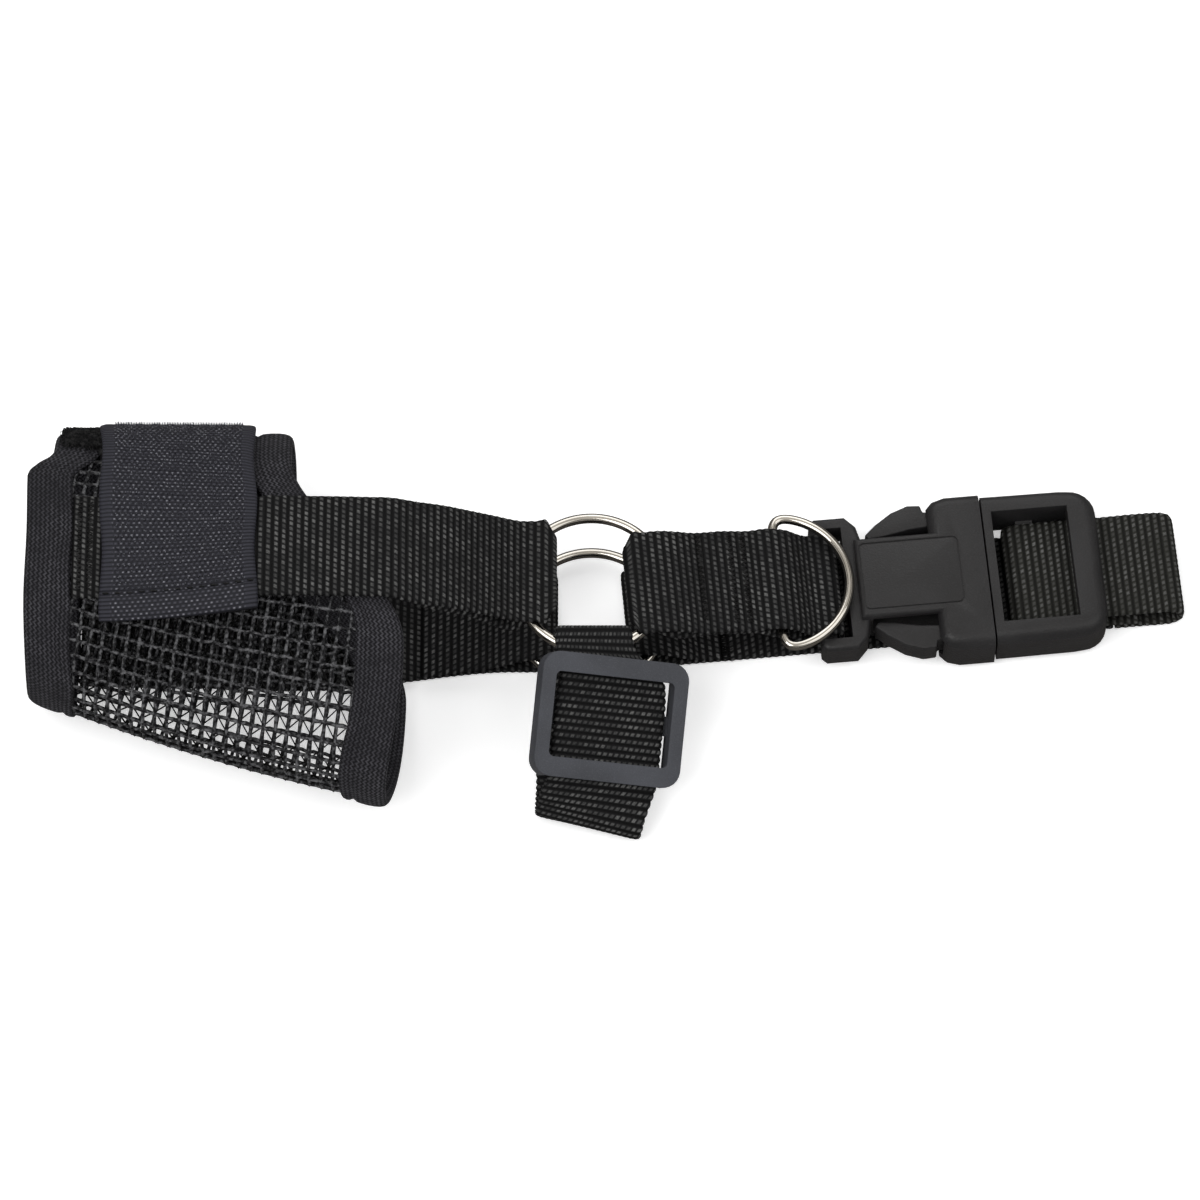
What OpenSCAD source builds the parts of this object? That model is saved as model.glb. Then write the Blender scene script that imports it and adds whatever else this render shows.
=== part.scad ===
// Head halter with a mesh muzzle band, lying on its side as it is stored.
// X runs from the nose end to the neck end, Y towards the top of the muzzle,
// and Z up off the surface that it lies on, so that its left side is uppermost.

/* [Webbing] */
// Width of every webbing strap
web_w = 25; // [24:0.5:25.5]
// Thickness of the webbing
web_t = 1.5; // [1.2:0.1:1.6]
// Width to which a strap is pinched inside a ring at the cheek and neck
pinch_w = 21; // [20:0.5:21.5]
// Width to which the throat strap is pinched inside a ring
throat_pinch_w = 15; // [13:0.5:15.5]

/* [Muzzle] */
// Position of the front edge of the mesh
front_x = -130.5; // [-132:0.5:-128]
// Position of the rear edge at its longest
rear_x = -46.5; // [-48:0.5:-45]
// How far the rear edge is cut back at the top
rear_slant = 26; // [20:1:30]
// How far up the top of the tube lies
muzzle_top = 42.8; // [42:0.1:44]
// Half height of the tube at the front
front_half = 30.9; // [30:0.1:32]
// Half height of the tube at the rear
rear_half = 44.3; // [43:0.1:45]
// Half thickness of the tube as it lies
tube_half_z = 18; // [16:0.5:19]
// Thickness of the mesh
mesh_t = 1.2; // [0.8:0.1:1.4]
// Visible width of the edge binding
bind_w = 9.5; // [8:0.5:10.5]
// Thickness of the binding tape
bind_t = 1; // [0.8:0.1:1.1]

/* [Hook and loop] */
// Width of the hook tape
hook_w = 35; // [34:0.5:36]
// Thickness of the hook tape
hook_t = 1.6; // [1.2:0.1:1.8]
// Thickness that the folded hem adds at the free end
hem_t = 1.2; // [0.8:0.1:1.4]
// Angle round the tube that the hem takes
hem_turn = 6; // [5:0.5:8]

/* [Rings] */
// Height of the left ring above the surface
left_ring_z = 21.5; // [19:0.5:24]
// Radius of the O-rings to the middle of the wire
ring_r = 16.65; // [16.6:0.05:16.8]
// Wire diameter of the O-rings
ring_wire = 2.3; // [2:0.1:2.4]
// Radius of the D-ring bow to the middle of the wire
dee_r = 16.7; // [16:0.1:17]
// Wire diameter of the D-ring
dee_wire = 2.2; // [1.8:0.1:2.3]

/* [Buckle] */
// Width of the buckle at its shoulders
buckle_w = 38.5; // [38:0.5:39.5]
// Width of the housing at its webbing end
base_w = 33.5; // [33:0.5:34.5]
// Lowest level of the buckle
buckle_z0 = 1.9; // [1.8:0.1:2.1]
// Highest level of the buckle
buckle_z1 = 13.1; // [12.8:0.1:13.4]

/* [Slider] */
// Width of the strap slider
slider_w = 34; // [33:0.5:36]
// Length of the strap slider
slider_l = 28.5; // [27:0.5:30]

/* [Hidden] */
gap = 0.3;        // between soft faces that move past each other
lay = 0.05;       // between layers that are sewn together
axis_x = -3;      // upright axis through both O-rings
axis_y = 7.5;
right_ring_z = 2 * web_t / 2 + gap + ring_wire / 2;
collar_turn = 5.3;
mid_z = 2.85 + tube_half_z;
oval_p = 2.5;     // exponent of the tube's oval section
around = 72;      // steps round the oval
loop_h = ring_wire / 2 + gap + web_t / 2;
web_half = web_w / 2;
tack_t = 0.3;

// ---- general shapes ----

function lerp(a, b, s) = a + (b - a) * s;
function unit(v) = v / norm(v);
function ease(s) = let (c = max(0, min(1, s))) c * c * (3 - 2 * c);
function signed_pow(v, e) = sign(v) * pow(abs(v), e);

// A solid through a list of rings of points. Each ring runs right-handed about the way of travel.
module loft(rings, looped = false) {
  n = len(rings[0]);
  m = len(rings);
  last = looped ? m - 1 : m - 2;
  sides = [for (i = [0 : last], j = [0 : n - 1])
    let (k = (j + 1) % n, a = i * n, b = ((i + 1) % m) * n)
      each [[a + j, b + j, b + k], [a + j, b + k, a + k]]];
  end = (m - 1) * n;
  caps = looped ? [] : [for (j = [0 : n / 2 - 2]) let (k = n - 1 - j)
    each [[j, j + 1, k], [j + 1, k - 1, k],
      [end + k, end + j + 1, end + j], [end + k, end + k - 1, end + j + 1]]];
  polyhedron([for (r = rings) each r], concat(sides, caps));
}

// The four corners of a strap of width w and thickness t, across direction side, with face up.
function strap_ring(p, side, up, w, t) = [
  p + side * w / 2 - up * t / 2,
  p + side * w / 2 + up * t / 2,
  p - side * w / 2 + up * t / 2,
  p - side * w / 2 - up * t / 2
];

// The way a path runs at its point i; a looped path wraps.
function way(path, i, looped) = let (
  m = len(path),
  before = looped ? path[(i + m - 1) % m] : path[max(0, i - 1)],
  after = looped ? path[(i + 1) % m] : path[min(m - 1, i + 1)]
) unit([after[0] - before[0], after[1] - before[1]]);

// A strap whose middle line is a list of [along, height, width], lying across Y.
module flat_strap(path, t, looped = false) {
  loft([for (i = [0 : len(path) - 1]) let (d = way(path, i, looped), p = path[i])
    strap_ring([p[0], 0, p[1]], [0, -1, 0], [-d[1], 0, d[0]], p[2], t)], looped);
}

function rounded_rect(w, h, r, steps = 6) = [for (q = [0 : 3], i = [0 : steps])
  let (a = q * 90 + i * 90 / steps, sx = (q == 0 || q == 3) ? 1 : -1, sy = q < 2 ? 1 : -1)
    [sx * (w / 2 - r) + r * cos(a), sy * (h / 2 - r) + r * sin(a)]];

module in_collar() {
  translate([axis_x, axis_y, 0]) rotate([0, 0, collar_turn]) children();
}

// ---- muzzle tube ----

function along_tube(x) = (x - front_x) / (rear_x - front_x);
function half_y(x) = let (k = along_tube(x)) lerp(front_half, rear_half, k * (1.38 - 0.38 * k));
function mid_y(x) = muzzle_top - half_y(x);
function oval_c(t) = signed_pow(cos(t), 2 / oval_p);
function oval_s(t) = signed_pow(sin(t), 2 / oval_p);
function front_edge(c) = front_x + 5.5 * ease((c - 0.5) / 0.25);
function rear_edge(c) = rear_x - rear_slant * ease((0.75 - c) < 0 ? 1 : 1 - (0.75 - c) / 1.05)
  - 4 * pow(max(0, -0.3 - c) / 0.7, 2);
// A point on the tube: x along it, t round it from the top over the left side, off out from it.
function skin(x, t, off) = [x, mid_y(x) + (half_y(x) + off) * oval_c(t),
  mid_z + (tube_half_z + off) * oval_s(t)];
// Height of the tube over a point, on its upper (1) or lower (-1) side.
function skin_z(x, y, off, side) = let (u = min(1, abs(y - mid_y(x)) / (half_y(x) + off)))
  mid_z + side * (tube_half_z + off) * pow(1 - pow(u, oval_p), 1 / oval_p);

module muzzle_mesh() {
  steps = 8;
  color("#3a3a3e") loft([for (k = [0 : around - 1]) let (t = k * 360 / around, c = oval_c(t))
    concat(
      [for (i = [steps : -1 : 0]) skin(lerp(front_edge(c), rear_edge(c), i / steps), t, 0)],
      [for (i = [0 : steps]) skin(lerp(front_edge(c), rear_edge(c), i / steps), t, -mesh_t)]
    )], true);
}

// A tape folded over an edge of the tube; q is measured from the edge into the tube.
function fold_profile() = let (top = lay + bind_t, low = -mesh_t - lay) [
  [bind_w, top], [-bind_t, top], [-bind_t, low - bind_t], [bind_w, low - bind_t],
  [bind_w, low], [-lay, low], [-lay, lay], [bind_w, lay]
];

module front_binding() {
  color("#222329") loft([for (k = [0 : around - 1]) let (t = k * 360 / around, e = front_edge(oval_c(t)))
    [for (p = fold_profile()) skin(e + p[0], t, p[1])]], true);
}

module rear_binding() {
  f = fold_profile();
  color("#222329") loft([for (k = [0 : around - 1]) let (t = k * 360 / around, e = rear_edge(oval_c(t)))
    [for (j = [len(f) - 1 : -1 : 0]) skin(e - f[j][0], t, f[j][1])]], true);
}

// How far a tape's angle is turned at x, so that the hem of the hook tape lies a little askew.
function hem_lean(angle, x) =
  16 * (0.5 - (x - hook_x0 - hook_skew * angle) / hook_w) * ease((angle / hook_end - 0.35) / 0.65);

// A tape laid round the tube, from x0 to x1. Each stage is [angle, inner face, outer face], the
// faces as distances out from the tube, and skew is how far it drifts along X for each degree.
// Where a tape lies lower than the bindings, it stops short of them.
module wrapped_tape(x0, x1, stages, skew = 0) {
  across = 6;
  loft([for (s = stages)
    let (drift = skew * s[0], c = oval_c(s[0]), tuck = ease((bind_t + 0.7 - s[1]) / 0.6),
      from = lerp(x0 + drift, max(x0 + drift, front_edge(c) + bind_w + gap), tuck),
      to = lerp(x1 + drift, min(x1 + drift, rear_edge(c) - bind_w - gap), tuck))
    [for (side = [2, 1], i = [0 : across]) let (x = lerp(from, to, (side == 2 ? across - i : i) / across))
      skin(x, s[0] + hem_lean(s[0], x), s[side])]]);
}

module loop_tape() {
  color("#161618") wrapped_tape(-119.5, -82, [for (a = [8 : 4 : 48]) [a, 0.15, 1.55]]);
}

hook_off = 2;      // inner face of the hook tape, clear of the strap beneath
hook_x0 = -116;
hook_skew = 0.021;
hook_end = 106;    // angle at which the free end of the hook tape stops
hem_from = hook_end - hem_turn;

module hook_tape_base() {
  color("#2d2e35") wrapped_tape(hook_x0, hook_x0 + hook_w, [for (a = [-57.2 : 4 : -1.2])
    let (off = lerp(hook_off, 0.15, ease((-a - 4) / 24))) [a, off, off + hook_t]], hook_skew);
}

module hook_flap() {
  outer = hook_off + hook_t;
  color("#2d2e35") wrapped_tape(hook_x0, hook_x0 + hook_w, [
    [1.2, hook_off, outer],
    for (a = [4 : 4 : hem_from - 1]) [a, hook_off, outer],
    [hem_from, hook_off, outer],
    for (a = [hem_from + 0.1, hook_end - 1, hook_end]) [a, hook_off, outer + hem_t]], hook_skew);
}

module hem_stitches() {
  count = 8;
  pitch = hook_w / count;
  top = hook_off + hook_t + hem_t + 0.02;
  drift = hook_skew * hem_from;
  color("#1b1b1f") for (i = [0 : count - 1])
    wrapped_tape(hook_x0 + drift + (i + 0.2) * pitch, hook_x0 + drift + (i + 0.8) * pitch,
      [for (a = [0.8, 1.4]) [hem_from + a, top, top + tack_t]]);
}

// ---- cheek straps ----

cheek_left = -120.7;
cheek_rest = [8.4, 2.5];   // how high the left and right strap lie on the tube

function cheek_mid(x, at) = lerp(at, axis_y, ease((x + 70) / 50));
function over_edge(x) = lerp(0.15, bind_t + 0.2, ease((x + 79.4) / 2.2));

// Stations of a strap on the tube, curved to it: side 1 is the upper face, -1 the lower.
function draped(x, at, side) = let (steps = 6, off = over_edge(x), y = cheek_mid(x, at))
  [for (half = [0, 1]) each [for (j = [0 : steps])
    let (v = y + web_half * (half == 0 ? 1 : -1) * (1 - 2 * j / steps),
      lift = (side == 1) == (half == 0) ? off : off + web_t)
      [x, v, skin_z(x, v, lift, side)]]];

// A free station of a strap with the same number of points, from its middle, slope and width.
function free_station(x, y, z, w, slope, t) = let (steps = 6, n = [-sin(slope), 0, cos(slope)])
  [for (half = [0, 1]) each [for (j = [0 : steps])
    [x, y, z] + [0, w / 2 * (half == 0 ? 1 : -1) * (1 - 2 * j / steps), 0]
      + n * t / 2 * (half == 0 ? -1 : 1)]];

left_fold = axis_x - sqrt(pow(ring_r - ring_wire / 2 - gap, 2) - pow(pinch_w / 2, 2));
on_tube = [cheek_left, -117, -112, -106, -100, -94, -88, -83, -79.4, -78.3, -77.2, -72, -66, -60, -54, -49];

module left_cheek_strap() {
  r = left_ring_z;
  f = left_fold;
  color("#1f1f20") loft([
    for (x = on_tube) draped(x, cheek_rest[0], 1),
    for (s = [
      [-43, 37.6, 0, -16], [-37, 35, 0, -30], [-30, 30.2, 0, -36], [-25, 26.6, 0, -30],
      [-21, r + loop_h + 0.5, 0, -10], [-18, r + loop_h, 1, 0], [f - 0.8, r + loop_h, 1, 0],
      [f + 0.3, r + loop_h - 0.6, 1, -45], [f + web_t / 2, r, 1, -90],
      [f + 0.3, r - loop_h + 0.6, 1, -135], [f - 0.8, r - loop_h, 1, -180], [-20.9, r - loop_h, 0, -186],
      [-24, r - loop_h + 1.7, 0, -218], [-30, 27.6, 0, -223], [-37, 33.1, 0, -211], [-43, 35.7, 0, -196]
    ]) free_station(s[0], cheek_mid(s[0], cheek_rest[0]), s[1], s[2] == 1 ? pinch_w : web_w, s[3], web_t)
  ]);
}

module right_cheek_strap() {
  r = right_ring_z;
  f = left_fold;
  h = web_t / 2;
  tail = [for (s = [[-43, h, 0, 0], [-34, h, 0, 0], [-24, h, 0, 0], [-18, h, 1, 0], [f - 0.8, h, 1, 0],
    [f + 0.3, h + 0.6, 1, 45], [f + web_t / 2, r, 1, 90], [f + 0.3, r + loop_h - 0.6, 1, 135],
    [f - 0.8, r + loop_h, 1, 180], [-18, r + loop_h, 1, 180], [-24, r + loop_h - 1, 0, 196],
    [-31, 3 * h + lay, 0, 184], [-42, 3 * h + lay, 0, 180]])
    free_station(s[0], cheek_mid(s[0], cheek_rest[1]), s[1], s[2] == 1 ? pinch_w : web_w, s[3], web_t)];
  color("#1c1c1d") loft([for (x = on_tube) draped(x, cheek_rest[1], -1), each tail]);
}

module cheek_tacks() {
  y = cheek_mid(cheek_left, cheek_rest[0]);
  color("#2b2b2d") for (x = [cheek_left + 1.5, cheek_left + 4]) loft([for (d = [0, 0.8])
    [for (half = [0, 1]) each [for (j = [0 : 6])
      let (v = y + 11 * (half == 0 ? 1 : -1) * (1 - j / 3))
        [x + d, v, skin_z(x + d, v, 0.15 + web_t, 1) + 0.02 + half * tack_t]]]]);
}

// ---- rings ----

module o_ring(z) {
  translate([axis_x, axis_y, z]) rotate_extrude($fn = 96)
    translate([ring_r, 0]) circle(d = ring_wire, $fn = 32);
}

module left_ring() {
  color("silver") o_ring(left_ring_z);
}

module right_ring() {
  color("silver") o_ring(right_ring_z);
}

// ---- neck straps, in the collar's own frame ----

neck_fold = axis_x - left_fold;
dee_x = 43;
dee_z = 13.4;
web_bar_x = [51.8, 55.6];
web_bar_z = 7.5;
web_bar_half = 2;

// Middle level of the doubled left neck strap.
function neck_z(x) = let (past_dee = dee_x + 2,
  down = lerp(left_ring_z, dee_z, (min(x, past_dee) - 18) / (dee_x - 18)))
  x < 18 ? left_ring_z : x < past_dee ? down : lerp(down, web_bar_z, min(1, (x - past_dee) / 5.8));

module left_neck_strap() {
  f = neck_fold;
  bar_h = web_bar_half + gap + web_t / 2;
  dee_h = dee_wire / 2 + gap + web_t / 2 + 0.2;
  sewn = web_t / 2 + lay;
  end = web_bar_x[1] + gap + web_t / 2;
  upper = [[f + 0.8, loop_h, pinch_w], [15, loop_h, pinch_w], [18.5, loop_h, web_w], [23, sewn, web_w],
    [38, sewn, web_w], [41, dee_h, web_w], [45, dee_h, web_w], [50.8, bar_h, web_w],
    [end - 1.05, bar_h, web_w], [end - 0.25, bar_h - 0.4, web_w], [end, bar_h - 1.05, web_w]];
  path = concat(
    [[f - web_t / 2, left_ring_z, pinch_w], [f - 0.3, left_ring_z + loop_h - 0.6, pinch_w]],
    [for (p = upper) [p[0], neck_z(p[0]) + p[1], p[2]]],
    [[end, web_bar_z, web_w]],
    [for (i = [len(upper) - 1 : -1 : 0]) let (p = upper[i]) [p[0], neck_z(p[0]) - p[1], p[2]]],
    [[f - 0.3, left_ring_z - loop_h + 0.6, pinch_w]]
  );
  color("#1f1f20") in_collar() flat_strap(path, web_t, true);
}

strap_split = 120;   // where the right neck strap gives way to the end loop

module right_neck_strap() {
  r = right_ring_z;
  f = neck_fold;
  h = web_t / 2;
  path = [[strap_split, h, web_w], [70, h, web_w], [18, h, web_w], [14.5, h, pinch_w], [f + 0.8, h, pinch_w],
    [f - 0.3, h + 0.6, pinch_w], [f - web_t / 2, r, pinch_w], [f - 0.3, r + loop_h - 0.6, pinch_w],
    [f + 0.8, r + loop_h, pinch_w], [14.5, r + loop_h, pinch_w], [18.5, r + loop_h - 0.2, web_w],
    [23.5, 3 * h + lay, web_w], [29, 3 * h + lay, web_w]];
  color("#1c1c1d") in_collar() flat_strap(path, web_t);
}

// A bar tack on the upper face of the doubled neck strap.
module neck_tack(x, w, l) {
  top = web_t + 2 * lay + tack_t / 2;
  flat_strap([[x, neck_z(x) + top, w], [x + l, neck_z(x + l) + top, w]], tack_t);
}

module neck_tacks() {
  color("#2b2b2d") in_collar() {
    neck_tack(25, 22, 1.1);
    neck_tack(32.2, 22, 1.1);
    neck_tack(35.2, 22, 1.1);
  }
}

module d_ring() {
  color("silver") in_collar() translate([dee_x, 0, dee_z]) {
    rotate([0, 0, -90]) rotate_extrude(angle = 180, $fn = 96)
      translate([dee_r, 0]) circle(d = dee_wire, $fn = 32);
    rotate([90, 0, 0]) cylinder(h = 2 * dee_r, d = dee_wire, center = true, $fn = 32);
    for (s = [-1, 1]) translate([0, s * dee_r, 0]) sphere(d = dee_wire, $fn = 32);
  }
}

// ---- side-release buckle, in the collar's own frame ----

mouth_x = 91.5;
window_x = [63.6, 79];
panel_half = 10;
shell_t = 2.1;
cavity_half = 17.3;
crown = 2.8;         // radius of the upper edges of the buckle

module slab(points, z0, z1) {
  translate([0, 0, z0]) linear_extrude(z1 - z0) polygon(points);
}

// A slab with a convex outline and a rounded upper edge of radius r.
module crowned_slab(points, z0, z1, r) {
  hull() {
    slab(points, z0, z1 - r);
    for (a = [15 : 15 : 90]) translate([0, 0, z1 - r + r * sin(a) - 0.01])
      linear_extrude(0.01) offset(delta = -r * (1 - cos(a))) polygon(points);
  }
}

function both_sides(upper) = concat(upper, [for (i = [len(upper) - 1 : -1 : 0]) [upper[i][0], -upper[i][1]]]);

module housing_core() {
  base = base_w / 2;
  full = buckle_w / 2;
  foot = both_sides([[51.8, base - 1.2], [53, base], [60.2, base], [62.6, base - 2.6], [63.6, panel_half]]);
  crowned_slab(foot, 3.4, 11, 1.2);
  crowned_slab(both_sides([[61.6, panel_half], [88, panel_half]]), buckle_z0, buckle_z1, 1.2);
  intersection() {
    crowned_slab(both_sides([[79, panel_half - 1], [79, full - 2.7], [80.6, full - 0.9], [83.5, full],
      [mouth_x + crown, full]]), buckle_z0, buckle_z1, crown);
    slab([[70, -full], [mouth_x, -full], [mouth_x, full], [70, full]], 0, 20);
  }
}

module buckle_housing() {
  bar_low = web_bar_z - web_bar_half;
  color("#2b2a2c") in_collar() difference() {
    housing_core();
    // slot that the strap goes through, and the thinned bar beside it
    slab([[web_bar_x[1], -14], [59.1, -14], [59.1, 14], [web_bar_x[1], 14]], 0, 20);
    slab([[50, -14], [57, -14], [57, 14], [50, 14]], 0, bar_low);
    slab([[50, -14], [57, -14], [57, 14], [50, 14]], web_bar_z + web_bar_half, 20);
    // cavity for the plug and its arms
    slab([[window_x[0] + 0.6, -cavity_half], [mouth_x + 1, -cavity_half], [mouth_x + 1, cavity_half],
      [window_x[0] + 0.6, cavity_half]], buckle_z0 + shell_t, buckle_z1 - shell_t);
    // panel line on the upper face
    translate([74, 0, buckle_z1 - 0.3]) linear_extrude(1) difference() {
      polygon(rounded_rect(23.2, 17, 1.4));
      polygon(rounded_rect(22.4, 16.2, 1));
    }
  }
}

plug_x = [mouth_x + 0.4, 118.2];
plug_hole = 14;
plug_z0 = 2.2;
plug_z1 = 12.8;

module buckle_plug() {
  full = buckle_w / 2 - 0.5;
  end = full - 0.4;
  right_corner = [for (i = [0 : 6]) [plug_x[1] - 6 + 6 * sin(i * 15), end - 6 + 6 * cos(i * 15)]];
  outline = both_sides(concat([[plug_x[0] - crown, full], [110, end + 0.2]], right_corner));
  color("#2b2a2c") in_collar() {
    difference() {
      crowned_slab(outline, plug_z0, plug_z1, crown);
      slab([[80, -20], [plug_x[0], -20], [plug_x[0], 20], [80, 20]], 0, 20);
      // window, open below the end bar so that both layers of the strap pass
      slab([[94, -plug_hole], [111.6, -plug_hole], [111.6, plug_hole], [94, plug_hole]], 0, 20);
      slab([[110, -plug_hole], [130, -plug_hole], [130, plug_hole], [110, plug_hole]], 0, 8.5);
    }
    // fixed bar that the strap turns round
    bar_half = plug_hole + 0.5;
    slab([[99.9, -bar_half], [103.9, -bar_half], [103.9, bar_half], [99.9, bar_half]], 3.75, 6.3);
    // tongue that centres the plug in the housing
    slab(both_sides([[72, 3.6], [73, 4.5], [plug_x[0] + 0.5, 4.5]]), 5.4, 9.6);
  }
}

arm_pivot = [89.6, 14];

// One springy arm with its leaf-shaped head; side is 1 above and -1 below.
module latch_arm(side) {
  head = [[78.4, 16.4], [78, 18.1], [75, 18.3], [71, 16.8], [67, 14], [64.4, 11.6], [65.4, 10.6], [69, 11]];
  inner = [[75, 12.2], [80, 12.6], [86, 12.5]];
  root = [for (a = [-90 : 30 : 90]) arm_pivot + 1.5 * [cos(a), sin(a)]];
  pts = concat(head, inner, root, [[84, 15.8]]);
  color("#29292b") in_collar() slab([for (p = pts) [p[0], side * p[1]]], 4.4, 10.6);
}

module latch_arm_upper() {
  latch_arm(1);
}

module latch_arm_lower() {
  latch_arm(-1);
}

module strap_end_loop() {
  h = web_t / 2;
  loop_z = 7.3;
  turn = [for (a = [-70 : 20 : 90])
    [132.4 + 3.3 * cos(a), (loop_z + h) / 2 + (loop_z - h) / 2 * sin(a), web_w]];
  path = concat(
    [[strap_split + 0.4, h, web_w], [132, h, web_w]],
    turn,
    [[118, loop_z, web_w], [101.9, 7.35, web_w], [98.6, 6.9, web_w], [96.7, 5, web_w], [97.6, 3, web_w],
      [100, 2.6, web_w], [110, 2.6, web_w], [126, 2.6, web_w]]
  );
  color("#242423") in_collar() flat_strap(path, web_t);
}

// ---- throat strap and its slider ----

slider_at = [1, -24.8, 17.6];
throat_way = unit([-0.1, -0.92, -0.36]);
throat_roll = 12;
flat_side = unit([1, 0, 0] - throat_way * throat_way[0]);
throat_side = flat_side * cos(throat_roll) - cross(throat_way, flat_side) * sin(throat_roll);
throat_up = cross(throat_way, throat_side);
throat_fold = sqrt(pow(ring_r - ring_wire / 2 - gap, 2) - pow(throat_pinch_w / 2, 2));

function on_slider_line(d) = slider_at + throat_way * d;
function below_axis(r, z) = [axis_x, axis_y - r, z];

// A station of the throat strap from its middle, the way across, and the way its outer face looks.
function throat_ring(p, side, up, w) =
  let (s = unit(side)) strap_ring(p, s, unit(up - s * (up * s)), w, web_t);

module throat_strap() {
  f = throat_fold;
  r = left_ring_z;
  q = right_ring_z;
  h = web_t / 2;
  across = [1, 0, 0];
  halfway = across + throat_side;
  pw = throat_pinch_w;
  color("#1f1f20") loft([
    throat_ring([-2, axis_y - 24.5, r - 1.3 * loop_h - 0.4], halfway, [0, 0.3, -1], 16),
    throat_ring([-2.5, axis_y - 19.5, r - loop_h], across, [0, 0, -1], 16),
    throat_ring(below_axis(f + 0.8, r - loop_h), across, [0, 0, -1], pw),
    throat_ring(below_axis(f - 0.3, r - loop_h + 0.6), across, [0, 1, -1], pw),
    throat_ring(below_axis(f - h, r), across, [0, 1, 0], pw),
    throat_ring(below_axis(f - 0.3, r + loop_h - 0.6), across, [0, 1, 1], pw),
    throat_ring(below_axis(f + 0.8, r + loop_h), across, [0, 0, 1], pw),
    throat_ring([-2.2, axis_y - 17.3, r + loop_h], across, [0, 0, 1], 15.5),
    throat_ring(on_slider_line(-9.5), throat_side, throat_up, 23),
    throat_ring(on_slider_line(-6), throat_side, throat_up, web_w),
    throat_ring(on_slider_line(10), throat_side, throat_up, web_w),
    throat_ring(on_slider_line(20), throat_side, throat_up, web_w),
    throat_ring([-2.2, -46, 7.4], halfway, [0, -0.75, 0.6], web_w),
    throat_ring([-2.8, -47.4, 4.4], across, [0, -1, 0], web_w),
    throat_ring([-3, -46.2, 1.6], across, [0, -0.8, -0.8], web_w),
    throat_ring([-3, -44, h], across, [0, 0, -1], web_w),
    throat_ring([-3, axis_y - 26, h], across, [0, 0, -1], web_w),
    throat_ring([-3, axis_y - 19, h], across, [0, 0, -1], 17),
    throat_ring(below_axis(f + 0.8, h), across, [0, 0, -1], pw),
    throat_ring(below_axis(f - 0.3, h + 0.6), across, [0, 1, -1], pw),
    throat_ring(below_axis(f - h, q), across, [0, 1, 0], pw),
    throat_ring(below_axis(f - 0.3, q + loop_h - 0.6), across, [0, 1, 1], pw),
    throat_ring(below_axis(f + 0.8, q + loop_h), across, [0, 0, 1], pw),
    throat_ring(below_axis(19.5, q + loop_h - 0.2), across, [0, -0.2, 1], 17),
    throat_ring(below_axis(25, 3 * h + lay), across, [0, 0, 1], 23),
    throat_ring(below_axis(31, 3 * h + lay), across, [0, 0, 1], web_w)
  ]);
}

module throat_tacks() {
  z = 2 * web_t + lay + 0.02 + tack_t / 2;
  color("#2b2b2d") for (r = [27, 29.5])
    translate([axis_x, axis_y - r, z]) cube([20, 0.9, tack_t], center = true);
}

module throat_slider() {
  frame_at = [
    [throat_side[0], -throat_way[0], throat_up[0], slider_at[0]],
    [throat_side[1], -throat_way[1], throat_up[1], slider_at[1]],
    [throat_side[2], -throat_way[2], throat_up[2], slider_at[2]],
    [0, 0, 0, 1]
  ];
  clear = web_t / 2 + gap;
  hole_w = web_w + 2.6;
  low = -clear - 2.2;
  high = clear + 2.3;
  over_strap = clear + 0.4;
  color("#3b3d42") multmatrix(frame_at) {
    difference() {
      translate([0, 0, low]) linear_extrude(high - low) polygon(rounded_rect(slider_w, slider_l, 4));
      translate([0, 0, low - 1]) linear_extrude(high - low + 2) polygon(rounded_rect(hole_w, 19.5, 1.2));
      // the strap passes beneath both end bars
      translate([-hole_w / 2, -slider_l, low - 1]) cube([hole_w, 2 * slider_l, over_strap - low + 1]);
    }
    translate([-hole_w / 2 - 0.5, -2.2, low]) cube([hole_w + 1, 4.4, -clear - low]);
  }
}

muzzle_mesh();
front_binding();
rear_binding();
loop_tape();
hook_tape_base();
hook_flap();
hem_stitches();
left_cheek_strap();
right_cheek_strap();
cheek_tacks();
left_ring();
right_ring();
left_neck_strap();
right_neck_strap();
neck_tacks();
d_ring();
buckle_housing();
buckle_plug();
latch_arm_upper();
latch_arm_lower();
strap_end_loop();
throat_strap();
throat_tacks();
throat_slider();
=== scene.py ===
"""Soft and hard finishes for a head halter with a mesh muzzle band, laid on its left side up."""

import math

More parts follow.
